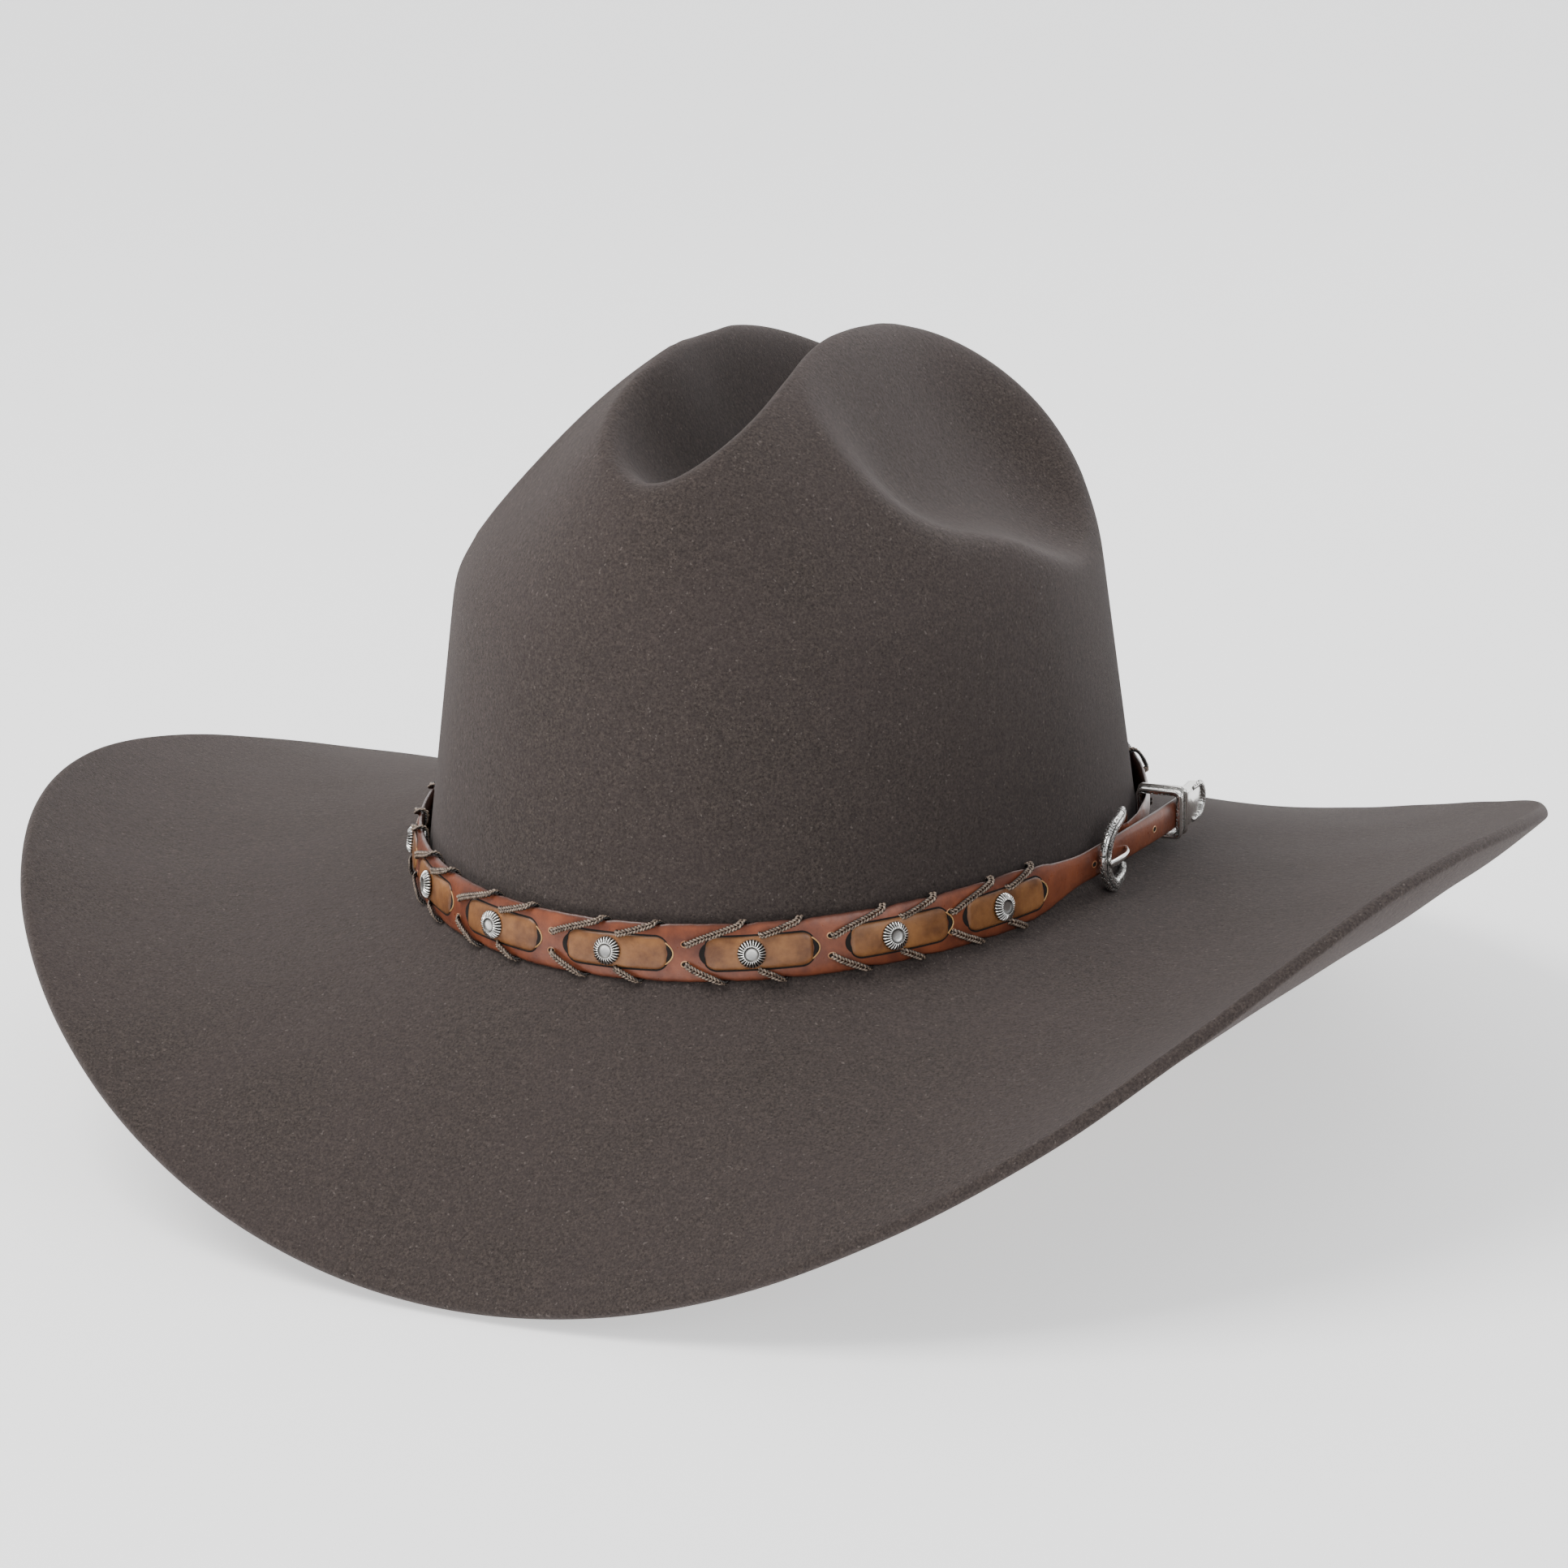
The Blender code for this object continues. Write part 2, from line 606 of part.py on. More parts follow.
def billet_cutters(group):
    """Holes along the billet, the prong's own one long, and the slot in the fold where the prong turns."""
    bm = bmesh.new()
    stretch = PRONG_HOLE_HALF_L / HOLE_R
    for distance, long in [(at, 1.0) for at in HOLE_AT] + [(PRONG_HOLE_AT, stretch)]:
        spot = billet_frame(distance) @ Matrix.Rotation(pi / 2, 4, "X") @ Matrix.Diagonal((long, 1, 1, 1))
        cylinder(bm, HOLE_R, 3.0, 12, spot)
    holes = cutter_object("billet_holes", bm, group)
    ahead = band_ahead(BAR_PHI)
    out = right_of(ahead)
    bm = bmesh.new()
    middle = BAR + ahead * 1.0 - out * 0.3
    box = axes((*middle, BAR_Z), (*ahead, 0), (*out, 0)) @ Matrix.Diagonal((8.0, 4.6, 3.4, 1))
    bmesh.ops.create_cube(bm, size=1.0, matrix=box)
    return holes, cutter_object("prong_slot", bm, group)


def build_strap(group, cutters):
    leather = material("strap_leather", (0.36, 0.115, 0.035), 0.35)
    inlay_finish = material("inlay_leather", (0.42, 0.18, 0.06), 0.4)
    cord = material("lace_cord", (0.10, 0.07, 0.05), 0.7)
    rows = strap_stations()
    strap = sweep("band_strap", *zip(*rows), leather, group)
    slots, concho_holes = slot_cutters(cutters)
    holes, prong_slot = billet_cutters(cutters)
    for cutter in (slots, concho_holes, holes, prong_slot):
        cut(strap, cutter, cutter.name)

    frames = [band_frame(arc, off) for arc, off in inlay_stations()]
    path = [(f.translation.x, f.translation.y) for f in frames]
    level = [f.translation.z for f in frames]
    count = len(frames)
    half_t, half_w, lean = ([value] * count for value in (INLAY_T / 2, INLAY_HALF_W, LEAN_X))
    inlay = sweep("inlay_strip", path, half_t, level, half_w, lean, inlay_finish, group)
    cut(inlay, concho_holes, "concho holes")

    low = concho_arcs()[-1] - LACE_TAIL
    high = concho_arcs()[0] + 4.0
    for name, side in (("upper_lace", 1), ("lower_lace", -1)):
        reach = side * (STRAP_HALF_W + 0.85)
        points = []
        for arc in np.linspace(low, high, 58):
            spot = lean_back(band_frame(arc)) @ Vector((0, 0, reach))
            points.append(spot)
        tube(name, points, LACE_R, cord, group)


def build_conchos(group):
    """Domed buttons, each with a shank through tab and strap, and a flat back behind the strap."""
    silver = material("antique_silver", (0.72, 0.71, 0.68), 0.3, 1.0)
    outline = ((CONCHO_R, 0.0), (CONCHO_R, 0.7), (2.9, 1.5), (1.6, 1.9), (1.3, 1.55), (0.0, 1.55))
    seat = INLAY_OFF + INLAY_T / 2 + 0.3
    for k, arc in enumerate(concho_arcs()):
        frame = lean_back(band_frame(arc)) @ Matrix.Rotation(-pi / 2, 4, "X")
        bm = bmesh.new()
        shank = STRAP_T / 2 + seat - 0.1
        profile = [(0.0, -shank), (SHANK_R, -shank), (SHANK_R, 0.0), *outline]
        edge = [bm.verts.new((r, 0, h)) for r, h in profile]
        edges = [bm.edges.new(pair) for pair in zip(edge, edge[1:])]
        bmesh.ops.spin(bm, geom=edge + edges, cent=(0, 0, 0), axis=(0, 0, 1), angle=2 * pi, steps=10)
        bmesh.ops.remove_doubles(bm, verts=bm.verts, dist=0.001)
        bm.transform(frame @ Matrix.Translation((0, 0, seat)))
        mesh_object(f"concho_{k + 1:02d}", bm, silver, group)
        bm = bmesh.new()
        behind = frame @ Matrix.Translation((0, 0, -STRAP_T / 2 - 0.3 - 0.3))
        cylinder(bm, 2.4, 0.6, 10, behind)
        mesh_object(f"concho_back_{k + 1:02d}", bm, silver, group)


def buckle_axes():
    """The buckle's own frame: X from the bar towards the frame's far end, Y outward, Z up, on the bar."""
    ahead = billet_ahead(BAR_AT)
    return axes((*BAR, BAR_Z), (*-ahead, 0), (*right_of(ahead), 0))


def pivot_object(name, group):
    """An empty on the bar's axis, which the buckle's moving pieces hang from."""
    empty = bpy.data.objects.new(name, None)
    group.objects.link(empty)
    empty.location = Vector((*BAR, BAR_Z)) * MM
    empty.empty_display_size = 0.01
    return empty


def hang(obj, pivot):
    obj.parent = pivot
    obj.matrix_parent_inverse = Matrix.Translation(-pivot.location)


def frame_rise(u):
    """How far the bowed frame stands out from the bar's plane, at a distance from the bar."""
    return FRAME_RISE * (1 - (1 - u / FRAME_L) ** 2)


def build_buckle(group):
    silver = material("buckle_silver", (0.74, 0.73, 0.70), 0.25, 1.0)
    frame = buckle_axes()
    outline = [(0.0, z, 0.62) for z in (-6.0, -2.0, 2.0, 6.0)]
    outline += [(1.2, FRAME_HALF_H - 0.2, 0.85), (5.0, FRAME_HALF_H, 0.95)]
    bend = FRAME_L - FRAME_HALF_H * 0.9
    for a in np.radians(np.linspace(90, -90, 11)):
        outline.append((bend + cos(a) * FRAME_HALF_H * 0.9, sin(a) * FRAME_HALF_H, 1.0 + 0.12 * cos(a)))
    outline += [(5.0, -FRAME_HALF_H, 0.95), (1.2, -FRAME_HALF_H + 0.2, 0.85)]
    points = [frame @ Vector((u, frame_rise(u), z)) for u, z, _ in outline]
    ring = tube("buckle_frame", points, 1.35, silver, group, radii=[r for _, _, r in outline], cyclic=True)

    wire = 0.45
    turn = 0.62 * 1.35 + 0.25 + wire
    loop = [(sin(a) * turn, cos(a) * turn) for a in np.radians(np.linspace(-265, 20, 10))]
    route = loop + [(3.6, 1.55), (5.1, 1.75), (6.1, 2.9), (6.8, 4.4), (9.5, 6.2), (14.0, 7.4), (20.6, 7.5)]
    points = [frame @ Vector((u, n, 0)) for u, n in route]
    prong = tube("buckle_prong", points, wire, silver, group)

    for obj, name in ((ring, "buckle_pivot"), (prong, "prong_pivot")):
        hang(obj, pivot_object(name, group))
    build_keeper(group, silver)
    build_tip(group, silver)


def build_keeper(group, finish):
    """A flat loop round the billet and the strap behind it, its inner side slanted along the crown."""
    frame = billet_frame(KEEPER_AT, 0.3)
    slant = -0.25
    inner, outer, half_h, wall = -9.1, 1.25, 5.2, 0.8

    def block(bm, low, high, half, length):
        made = bmesh.ops.create_cube(bm, size=1.0)["verts"]
        for v in made:
            far = v.co.y < 0
            x = v.co.x * length
            y = (low + slant * x) if far else high
            v.co = frame @ Vector((x, y, v.co.z * 2 * half))

    body = bmesh.new()
    block(body, inner - wall, outer + 1.1, half_h + 0.9, KEEPER_L)
    hollow = bmesh.new()
    block(hollow, inner, outer, half_h, KEEPER_L + 2.0)
    keeper = mesh_object("keeper_loop", body, finish, group)
    cut(keeper, cutter_object("keeper_hollow", hollow, bpy.data.collections["cutters"]), "hollow")


def build_tip(group, finish):
    """The metal cap on the billet's end, with a pocket that the leather sits in."""
    half_w, half_t = 4.7, 1.75
    frame = billet_frame(TIP_FROM, -0.15)
    bm = bmesh.new()
    arc = [(TIP_L - half_w + cos(a) * half_w, sin(a) * half_w) for a in np.radians(np.linspace(-90, 90, 9))]
    rim = [bm.verts.new((x, -half_t, z)) for x, z in [(0.0, -half_w), *arc, (0.0, half_w)]]
    face = bm.faces.new(rim)
    grown = bmesh.ops.extrude_face_region(bm, geom=[face])["geom"]
    moved = [g for g in grown if isinstance(g, bmesh.types.BMVert)]
    bmesh.ops.translate(bm, verts=moved, vec=(0, 2 * half_t, 0))
    bm.transform(frame)
    tip = mesh_object("billet_tip", bm, finish, group)
    bm = bmesh.new()
    deep = BILLET_END - TIP_FROM + 0.4
    pocket = frame @ Matrix.Translation((deep / 2 - 1.0, 0, 0)) @ Matrix.Diagonal(
        (deep + 2.0, STRAP_T + 0.6, 2 * BILLET_HALF_W + 0.6, 1)
    )
    bmesh.ops.create_cube(bm, size=1.0, matrix=pocket)
    cut(tip, cutter_object("tip_pocket", bm, bpy.data.collections["cutters"]), "pocket")


def main():
    for obj in list(bpy.data.objects):
        bpy.data.objects.remove(obj)
    hat = collection("cowboy_hat")
    cutters = collection("cutters")
    build_felt(hat)
    build_inside(hat)
    build_strap(hat, cutters)
    build_conchos(hat)
    build_buckle(hat)


main()
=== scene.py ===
"""How the felt western hat looks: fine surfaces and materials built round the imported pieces.

Shapes are worked out in millimetres and become metres when a mesh is made. The hat's front is towards -Y,
the wearer's left towards +X, and phi is the angle round the hat from the front towards the wearer's left.
"""

from math import atan2, cos, degrees, pi, radians, sin

import bpy
import numpy as np
from mathutils import Matrix, Vector


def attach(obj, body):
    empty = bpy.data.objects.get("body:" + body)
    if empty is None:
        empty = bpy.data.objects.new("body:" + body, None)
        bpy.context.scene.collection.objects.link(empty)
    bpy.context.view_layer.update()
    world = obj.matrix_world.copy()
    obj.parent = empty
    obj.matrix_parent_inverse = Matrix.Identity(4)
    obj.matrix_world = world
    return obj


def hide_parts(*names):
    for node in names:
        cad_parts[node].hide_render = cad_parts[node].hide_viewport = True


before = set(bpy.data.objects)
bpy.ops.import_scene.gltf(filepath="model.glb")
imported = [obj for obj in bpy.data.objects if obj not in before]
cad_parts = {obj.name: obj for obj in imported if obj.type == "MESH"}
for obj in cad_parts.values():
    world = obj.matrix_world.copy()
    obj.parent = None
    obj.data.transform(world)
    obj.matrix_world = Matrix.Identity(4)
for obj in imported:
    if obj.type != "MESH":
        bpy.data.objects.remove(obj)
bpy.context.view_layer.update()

MM = 0.001

# ---- The hat's shape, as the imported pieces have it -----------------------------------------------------

BREAK_X, BREAK_Y, BREAK_DIP = 90.0, 106.0, 1.4
SHOULDER_X, SHOULDER_Y, SHOULDER_Z = 80.0, 97.5, 77.0
CROWN_BACKSET = 2.5
LEAN_X = (BREAK_X - SHOULDER_X) / SHOULDER_Z
LEAN_Y = (BREAK_Y - SHOULDER_Y) / SHOULDER_Z
DOME_H, DOME_PLAN_POWER, DOME_RISE_POWER = 59.0, 3.2, 2.3
DOME_TILT, DOME_ROLL = 0.09, 0.04
FRONT_PINCH, BACK_PINCH = 0.24, 0.05
DENT_EDGE_X, DENT_FLOOR_Z, DENT_CENTRE_Y = 74.0, 78.0, 2.0
DENT_REACH_FRONT, DENT_REACH_BACK, DENT_END_RISE = 58.0, 56.0, 28.0
GROOVE_FLOOR_Z, GROOVE_END_RISE, GROOVE_REACH = 101.0, 12.0, 76.0
GROOVE_FLARE, GROOVE_PINCH = 0.075, 0.03
RIDGE_ROUND, DENT_ROUND, LEFT_DENT_ROUND = 12.0, 8.0, 13.0
LEFT_LIP, LEFT_FLARE = 12.5, 0.06
BRIM_ROOT_X, BRIM_ROOT_Y = 89.0, 105.0
FELT_T = 3.5


def ease(value, start, end):
    share = np.clip((value - start) / (end - start), 0.0, 1.0)
    return share * share * (3 - 2 * share)


def smooth_min(a, b, blend):
    share = np.clip(0.5 + 0.5 * (b - a) / blend, 0, 1)
    return b * (1 - share) + a * share - blend * share * (1 - share)


def crown_heights(phi, reach):
    """Plan points of the crown's top, with its dented height there and the groove's height there."""
    dome = DOME_H * np.clip(1 - reach**DOME_PLAN_POWER, 0, 1) ** (1 / DOME_RISE_POWER)
    pinch = np.where(np.cos(phi) > 0, FRONT_PINCH, BACK_PINCH)
    plan = reach * (1 - pinch * dome / DOME_H * np.sin(2 * phi) ** 2)
    x = np.sin(phi) * plan * (SHOULDER_X - LEAN_X * dome)
    y = CROWN_BACKSET - np.cos(phi) * plan * (SHOULDER_Y - LEAN_Y * dome)
    full = SHOULDER_Z + dome * (1 - DOME_TILT * y / SHOULDER_X) + DOME_ROLL * x * dome / DOME_H
    inward = DENT_EDGE_X - abs(x)
    front = (DENT_CENTRE_Y - y) / DENT_REACH_FRONT
    end = np.where(y < DENT_CENTRE_Y, front, (y - DENT_CENTRE_Y) / DENT_REACH_BACK)
    dent = DENT_FLOOR_Z + 0.25 * inward + 0.0175 * inward * abs(inward) + DENT_END_RISE * end**4
    dent = dent + LEFT_LIP * ease(x, 40.0, 72.0) * np.exp(-(((y + 27) / 32) ** 2))
    flare = GROOVE_FLARE + GROOVE_PINCH * np.exp(-(((y + 25) / 20) ** 2))
    flare = flare + LEFT_FLARE * ease(x, -6.0, 8.0) * ease(y, -36.0, 0.0)
    end = abs(y - CROWN_BACKSET) / GROOVE_REACH
    groove = GROOVE_FLOOR_Z + GROOVE_END_RISE * end**4 + flare * x**2
    blend = DENT_ROUND + (LEFT_DENT_ROUND - DENT_ROUND) * ease(x, 10.0, 30.0)
    return x, y, smooth_min(full, dent, blend), groove


def crown_top(phi, reach):
    x, y, dented, groove = crown_heights(phi, reach)
    return np.stack([x, y, smooth_min(dented, groove, RIDGE_ROUND)], -1)


def crown_wall(phi, share):
    foot = np.stack([BREAK_X * np.sin(phi), -BREAK_Y * np.cos(phi), -BREAK_DIP * np.cos(2 * phi)], -1)
    return foot * (1 - share) + crown_top(phi, 1.0) * share


def ridge_reach(phi):
    """The reach at which the groove's side meets the top, all round the groove."""
    reach = np.linspace(1, 0.02, 1400)[:, None]
    _, _, dented, groove = crown_heights(phi[None, :], reach)
    return reach[np.argmax(groove < dented, axis=0), 0]


def brim_rows(phi, shares, steps=200):
    """Rows of the brim's upper face, from share 0 at the break to share 1 at the edge."""
    c1, c2, c3, c4, c6 = (np.cos(k * phi) for k in (1, 2, 3, 4, 6))
    s1, s2, s3 = (np.sin(k * phi) for k in (1, 2, 3))
    width = 99.0 - 1.4 * c1 - 5.7 * c2 + 1.5 * c4 - 1.3 * s1 - 0.7 * s2
    mean = -10.5 + 0.3 * c1 - 20.6 * c2 - 5.5 * c3 - 0.7 * c4 + 0.45 * c6 + 4.5 * s1 - 0.3 * s2 + s3
    mean, root = np.radians(mean), np.radians(-17.0 - 9.0 * c2)
    power = 1.7 - 0.6 * c2 - 0.3 * c4
    edge = root + (mean - root) * (power + 1)
    slope = root + (edge - root) * np.linspace(0, 1, steps + 1)[:, None] ** power
    run, rise = (
        np.concatenate([np.zeros((1, len(phi))), np.cumsum((f(slope[1:]) + f(slope[:-1])) / 2, 0)])
        for f in (np.cos, np.sin)
    )
    normal = np.stack([BREAK_Y * np.sin(phi), -BREAK_X * np.cos(phi)], -1)
    normal = normal / np.linalg.norm(normal, axis=1)[:, None]
    rows = []
    for share in shares:
        low = min(int(share * steps), steps - 1)
        part = share * steps - low
        out = (run[low] * (1 - part) + run[low + 1] * part) / run[-1] * width * np.cos(mean)
        up = (rise[low] * (1 - part) + rise[low + 1] * part) / steps * width
        up = up + (np.sin(mean) - rise[-1] / steps) * width * share
        x = (BREAK_X * (1 - share) + BRIM_ROOT_X * share) * np.sin(phi) + out * normal[:, 0]
        y = -(BREAK_Y * (1 - share) + BRIM_ROOT_Y * share) * np.cos(phi) + out * normal[:, 1]
        rows.append(np.stack([x, y, up - BREAK_DIP * np.cos(2 * phi)], -1))
    return rows


def inside(phi, depth, z):
    """Points inside the crown at a depth in from its outer face, z above the break."""
    x = (BREAK_X - LEAN_X * z - depth) * np.sin(phi)
    y = CROWN_BACKSET * z / SHOULDER_Z - (BREAK_Y - LEAN_Y * z - depth) * np.cos(phi)
    return np.stack([x, y, z - BREAK_DIP * np.cos(2 * phi)], -1)


# ---- The hatband's route -------------------------------------------------------------------------------

STRAP_T, STRAP_OFF, STRAP_HALF_W, STRAP_Z = 1.8, 2.6, 6.8, 8.2
BILLET_HALF_W = 3.9
BAND_X = BREAK_X - LEAN_X * STRAP_Z + STRAP_OFF
BAND_Y = BREAK_Y - LEAN_Y * STRAP_Z + STRAP_OFF
BAND_BACKSET = CROWN_BACKSET * STRAP_Z / SHOULDER_Z
LEAVE_PHI = radians(70.0)
BILLET_BEND_R, BILLET_FALL, BILLET_ARCH, BILLET_SPAN = 240.0, 0.013, 1.45, 80.0
NARROWING = (-16.0, 14.0)
BAR_AT, BAR_DROP = 39.5, 3.15
BILLET_END = 77.5
HOLE_AT = (17.5, 50.0)
CHAPE_T, CHAPE_R, CHAPE_FOLD, CHAPE_HALF_W = 0.8, 1.55, 8.0, 4.3
CONCHOS = 15
FIRST_CONCHO_PHI, FIRST_PITCH, PITCH = radians(59.5), 31.5, 34.9
TAB_L, TAB_SHARE_FRONT = 27.0, 0.43
KEEPER_AT, KEEPER_L = 67.0, 5.5
TIP_FROM, TIP_L = 73.0, 14.5


def band_point(phi):
    return np.array([BAND_X * sin(phi), BAND_BACKSET - BAND_Y * cos(phi)])


def band_ahead(phi):
    way = np.array([BAND_X * cos(phi), BAND_Y * sin(phi)])
    return way / np.linalg.norm(way)


def right_of(ahead):
    return np.array([ahead[1], -ahead[0]])


SAMPLES = np.linspace(-2 * pi, pi, 6001)
SAMPLE_POINTS = np.array([band_point(phi) for phi in SAMPLES])
ARC = np.concatenate([[0], np.cumsum(np.linalg.norm(np.diff(SAMPLE_POINTS, axis=0), axis=1))])


def phi_at(arc):
    return float(np.interp(arc, ARC, SAMPLES))


def arc_of(phi):
    return float(np.interp(phi, SAMPLES, ARC))


LEAVE = band_point(LEAVE_PHI)
LEAVE_ARC = arc_of(LEAVE_PHI)


def billet_ahead(distance):
    ahead = band_ahead(LEAVE_PHI)
    turn = distance / BILLET_BEND_R
    return np.array([ahead[0] * cos(turn) - ahead[1] * sin(turn), ahead[0] * sin(turn) + ahead[1] * cos(turn)])


def billet(distance, off=0.0):
    middle = LEAVE - right_of(billet_ahead(0.0)) * BILLET_BEND_R
    return middle + right_of(billet_ahead(distance)) * (BILLET_BEND_R + off)


def strap_level(phi):
    return STRAP_Z - BREAK_DIP * cos(2 * phi)


def billet_z(distance):
    return strap_level(LEAVE_PHI) - BILLET_FALL * distance + BILLET_ARCH * sin(pi * distance / BILLET_SPAN)


BAR = billet(BAR_AT, -BAR_DROP)
BAR_Z = billet_z(BAR_AT)
BAR_PHI = atan2(BAR[0] / BAND_X, (BAND_BACKSET - BAR[1]) / BAND_Y)
BAR_OFF = float((BAR - band_point(BAR_PHI)) @ right_of(band_ahead(BAR_PHI)))
STRAP_START = arc_of(BAR_PHI + radians(9.5) - 2 * pi)
CONCHO_ARCS = [arc_of(FIRST_CONCHO_PHI)]
CONCHO_ARCS += [CONCHO_ARCS[0] - FIRST_PITCH - PITCH * k for k in range(CONCHOS - 1)]


def strap_at(arc):
    """The strap at an arc length: plan point, outward direction, height, half width, half thickness, lean."""
    distance = arc - LEAVE_ARC
    if distance > 0:
        lean = LEAN_X * (1 - ease(distance, 0.0, 16.0))
        half_w = STRAP_HALF_W + (BILLET_HALF_W - STRAP_HALF_W) * ease(distance, *NARROWING)
        return billet(distance), right_of(billet_ahead(distance)), billet_z(distance), half_w, STRAP_T / 2, lean
    phi = phi_at(arc)
    turned = degrees(phi + 2 * pi - BAR_PHI)
    settle = ease(turned, 8.0, 32.0)
    climb = (BAR_Z - strap_level(BAR_PHI)) * (1 - ease(turned, 0.0, 38.0))
    half_w = STRAP_HALF_W + (BILLET_HALF_W - STRAP_HALF_W) * ease(distance, *NARROWING)
    half_w = CHAPE_HALF_W + (half_w - CHAPE_HALF_W) * ease(turned, 19.0, 28.0)
    half_t = CHAPE_T / 2 + (STRAP_T - CHAPE_T) / 2 * ease(turned, 17.0, 24.0)
    out = right_of(band_ahead(phi))
    spot = band_point(phi) + out * (BAR_OFF + 1.3) * (1 - settle)
    return spot, out, strap_level(phi) + climb, half_w, half_t, LEAN_X * settle


def on_strap(arc, z, off):
    """A point at a height above the strap's mid line and at a distance out from its mid face."""
    spot, out, level, _, _, lean = strap_at(arc)
    return np.array([*(spot + out * (off - lean * z)), level + z])


def swell(z, half_w=STRAP_HALF_W):
    """How far the strap's rounded front stands out from its mid face, as a share of its half thickness."""
    return 0.64 + 0.5 * max(0.0, 1 - (z / half_w) ** 2)


def strap_matrix(arc, z=0.0, off=0.0):
    """Millimetre frame on the strap: X along it, Y up its leaning face, Z outward."""
    _, out, _, _, _, lean = strap_at(arc)
    up = Vector((*(-out * lean), 1)).normalized()
    normal = Vector((*out, lean)).normalized()
    along = up.cross(normal)
    spot = Vector(on_strap(arc, z, off))
    return Matrix.Translation(spot) @ Matrix((along, up, normal)).transposed().to_4x4()


# ---- Materials -----------------------------------------------------------------------------------------


def linear(*channels):
    """A colour given as 0 to 255 screen values, as linear light."""
    parts = [c / 255 for c in channels]
    return tuple(p / 12.92 if p <= 0.04045 else ((p + 0.055) / 1.055) ** 2.4 for p in parts)


class Finish:
    """A procedural material, built node by node."""

    def __init__(self, name):
        self.material = bpy.data.materials.new(name)
        self.material.use_nodes = True
        self.tree = self.material.node_tree
        self.shader = self.tree.nodes["Principled BSDF"]
        self.place = self.tree.nodes.new("ShaderNodeTexCoord").outputs["Object"]

    def node(self, kind, inputs=None, out=0, **settings):
        made = self.tree.nodes.new("ShaderNode" + kind)
        for key, value in settings.items():
            setattr(made, key, value)
        for key, value in (inputs or {}).items():
            self.put(made.inputs[key], value)
        return made.outputs[out]

    def put(self, socket, value):
        if isinstance(value, bpy.types.NodeSocket):
            self.tree.links.new(value, socket)
        else:
            socket.default_value = value

    def noise(self, scale, detail=4.0, rough=0.6, place=None):
        values = {"Vector": place or self.place, "Scale": scale, "Detail": detail, "Roughness": rough}
        return self.node("TexNoise", values)

    def ramp(self, value, low, high, start=0.0, end=1.0):
        values = {"Value": value, "From Min": low, "From Max": high, "To Min": start, "To Max": end}
        return self.node("MapRange", values)

    def math(self, operation, a, b=0.0):
        return self.node("Math", {0: a, 1: b}, operation=operation)

    def mix(self, share, a, b, blend="MIX"):
        made = self.tree.nodes.new("ShaderNodeMix")
        made.data_type = "RGBA"
        made.blend_type = blend
        for socket, value in zip((made.inputs[0], made.inputs[6], made.inputs[7]), (share, a, b)):
            if isinstance(value, tuple) and len(value) == 3:
                value = (*value, 1)
            self.put(socket, value)
        return made.outputs[2]

    def bump(self, height, distance, strength=1.0, normal=None):
        values = {"Height": height, "Distance": distance, "Strength": strength}
        if normal is not None:
            values["Normal"] = normal
        return self.node("Bump", values)

    def set(self, **values):
        for key, value in values.items():
            socket = self.shader.inputs[key.replace("_", " ")]
            if isinstance(value, tuple) and len(value) == 3 and len(socket.default_value) == 4:
                value = (*value, 1)
            self.put(socket, value)
        return self.material


FELT_DEEP, FELT_PALE = linear(18, 15, 14), linear(91, 81, 76)


def felt_finish():
    """Fur felt: a fine nap with lighter hairs and specks, and a soft sheen where it is seen edge on."""
    f = Finish("felt_nap")
    grain = f.noise(1500, 6, 0.75)
    nap = f.noise(520, 5, 0.65)
    cloud = f.noise(38, 3, 0.5)
    shade = f.mix(f.ramp(grain, 0.3, 0.7), FELT_DEEP, FELT_PALE)
    shade = f.mix(f.ramp(nap, 0.35, 0.65, 0.0, 0.5), shade, linear(53, 47, 46))
    shade = f.mix(f.ramp(cloud, 0.35, 0.65, 0.0, 0.25), shade, linear(68, 59, 58))
    speck = f.ramp(f.noise(1100, 2, 0.4), 0.69, 0.75)
    shade = f.mix(f.math("MULTIPLY", speck, 0.35), shade, linear(132, 122, 116))
    height = f.math("ADD", grain, f.math("MULTIPLY", nap, 1.4))
    return f.set(
        Base_Color=shade,
        Roughness=0.92,
        Specular_IOR_Level=0.15,
        Sheen_Weight=0.16,
        Sheen_Roughness=0.45,
        Sheen_Tint=(0.72, 0.66, 0.66, 1),
        Normal=f.bump(height, 0.00022, 0.9),
    )


def leather_finish(name, deep, pale, rough, grain_scale=900, grain_depth=0.00005, coat=0.15):
    """Waxed leather: pores and soft wrinkles, with the colour rubbed unevenly."""
    f = Finish(name)
    cloud = f.noise(120, 5, 0.65)
    pores = f.noise(grain_scale, 5, 0.6)
    shade = f.mix(f.ramp(cloud, 0.35, 0.68), deep, pale)
    shade = f.mix(f.ramp(pores, 0.62, 0.75, 0.0, 0.6), shade, deep)
    # worn darkens the colour: burnished dark edges on the strap, a darker back face, and painted shade where the tabs
    # dip into their slots and along their edges.
    worn = f.node("Attribute", out=2, attribute_name="worn")
    shade = f.mix(worn, shade, tuple(c * 0.35 for c in deep))
    height = f.math("ADD", pores, f.math("MULTIPLY", f.noise(grain_scale * 0.25, 3), 1.5))
    return f.set(
        Base_Color=shade,
        Roughness=f.ramp(pores, 0.3, 0.7, rough - 0.07, rough + 0.12),
        Specular_IOR_Level=0.4,
        Coat_Weight=coat,
        Coat_Roughness=0.35,
        Normal=f.bump(height, grain_depth, 0.8),
    )


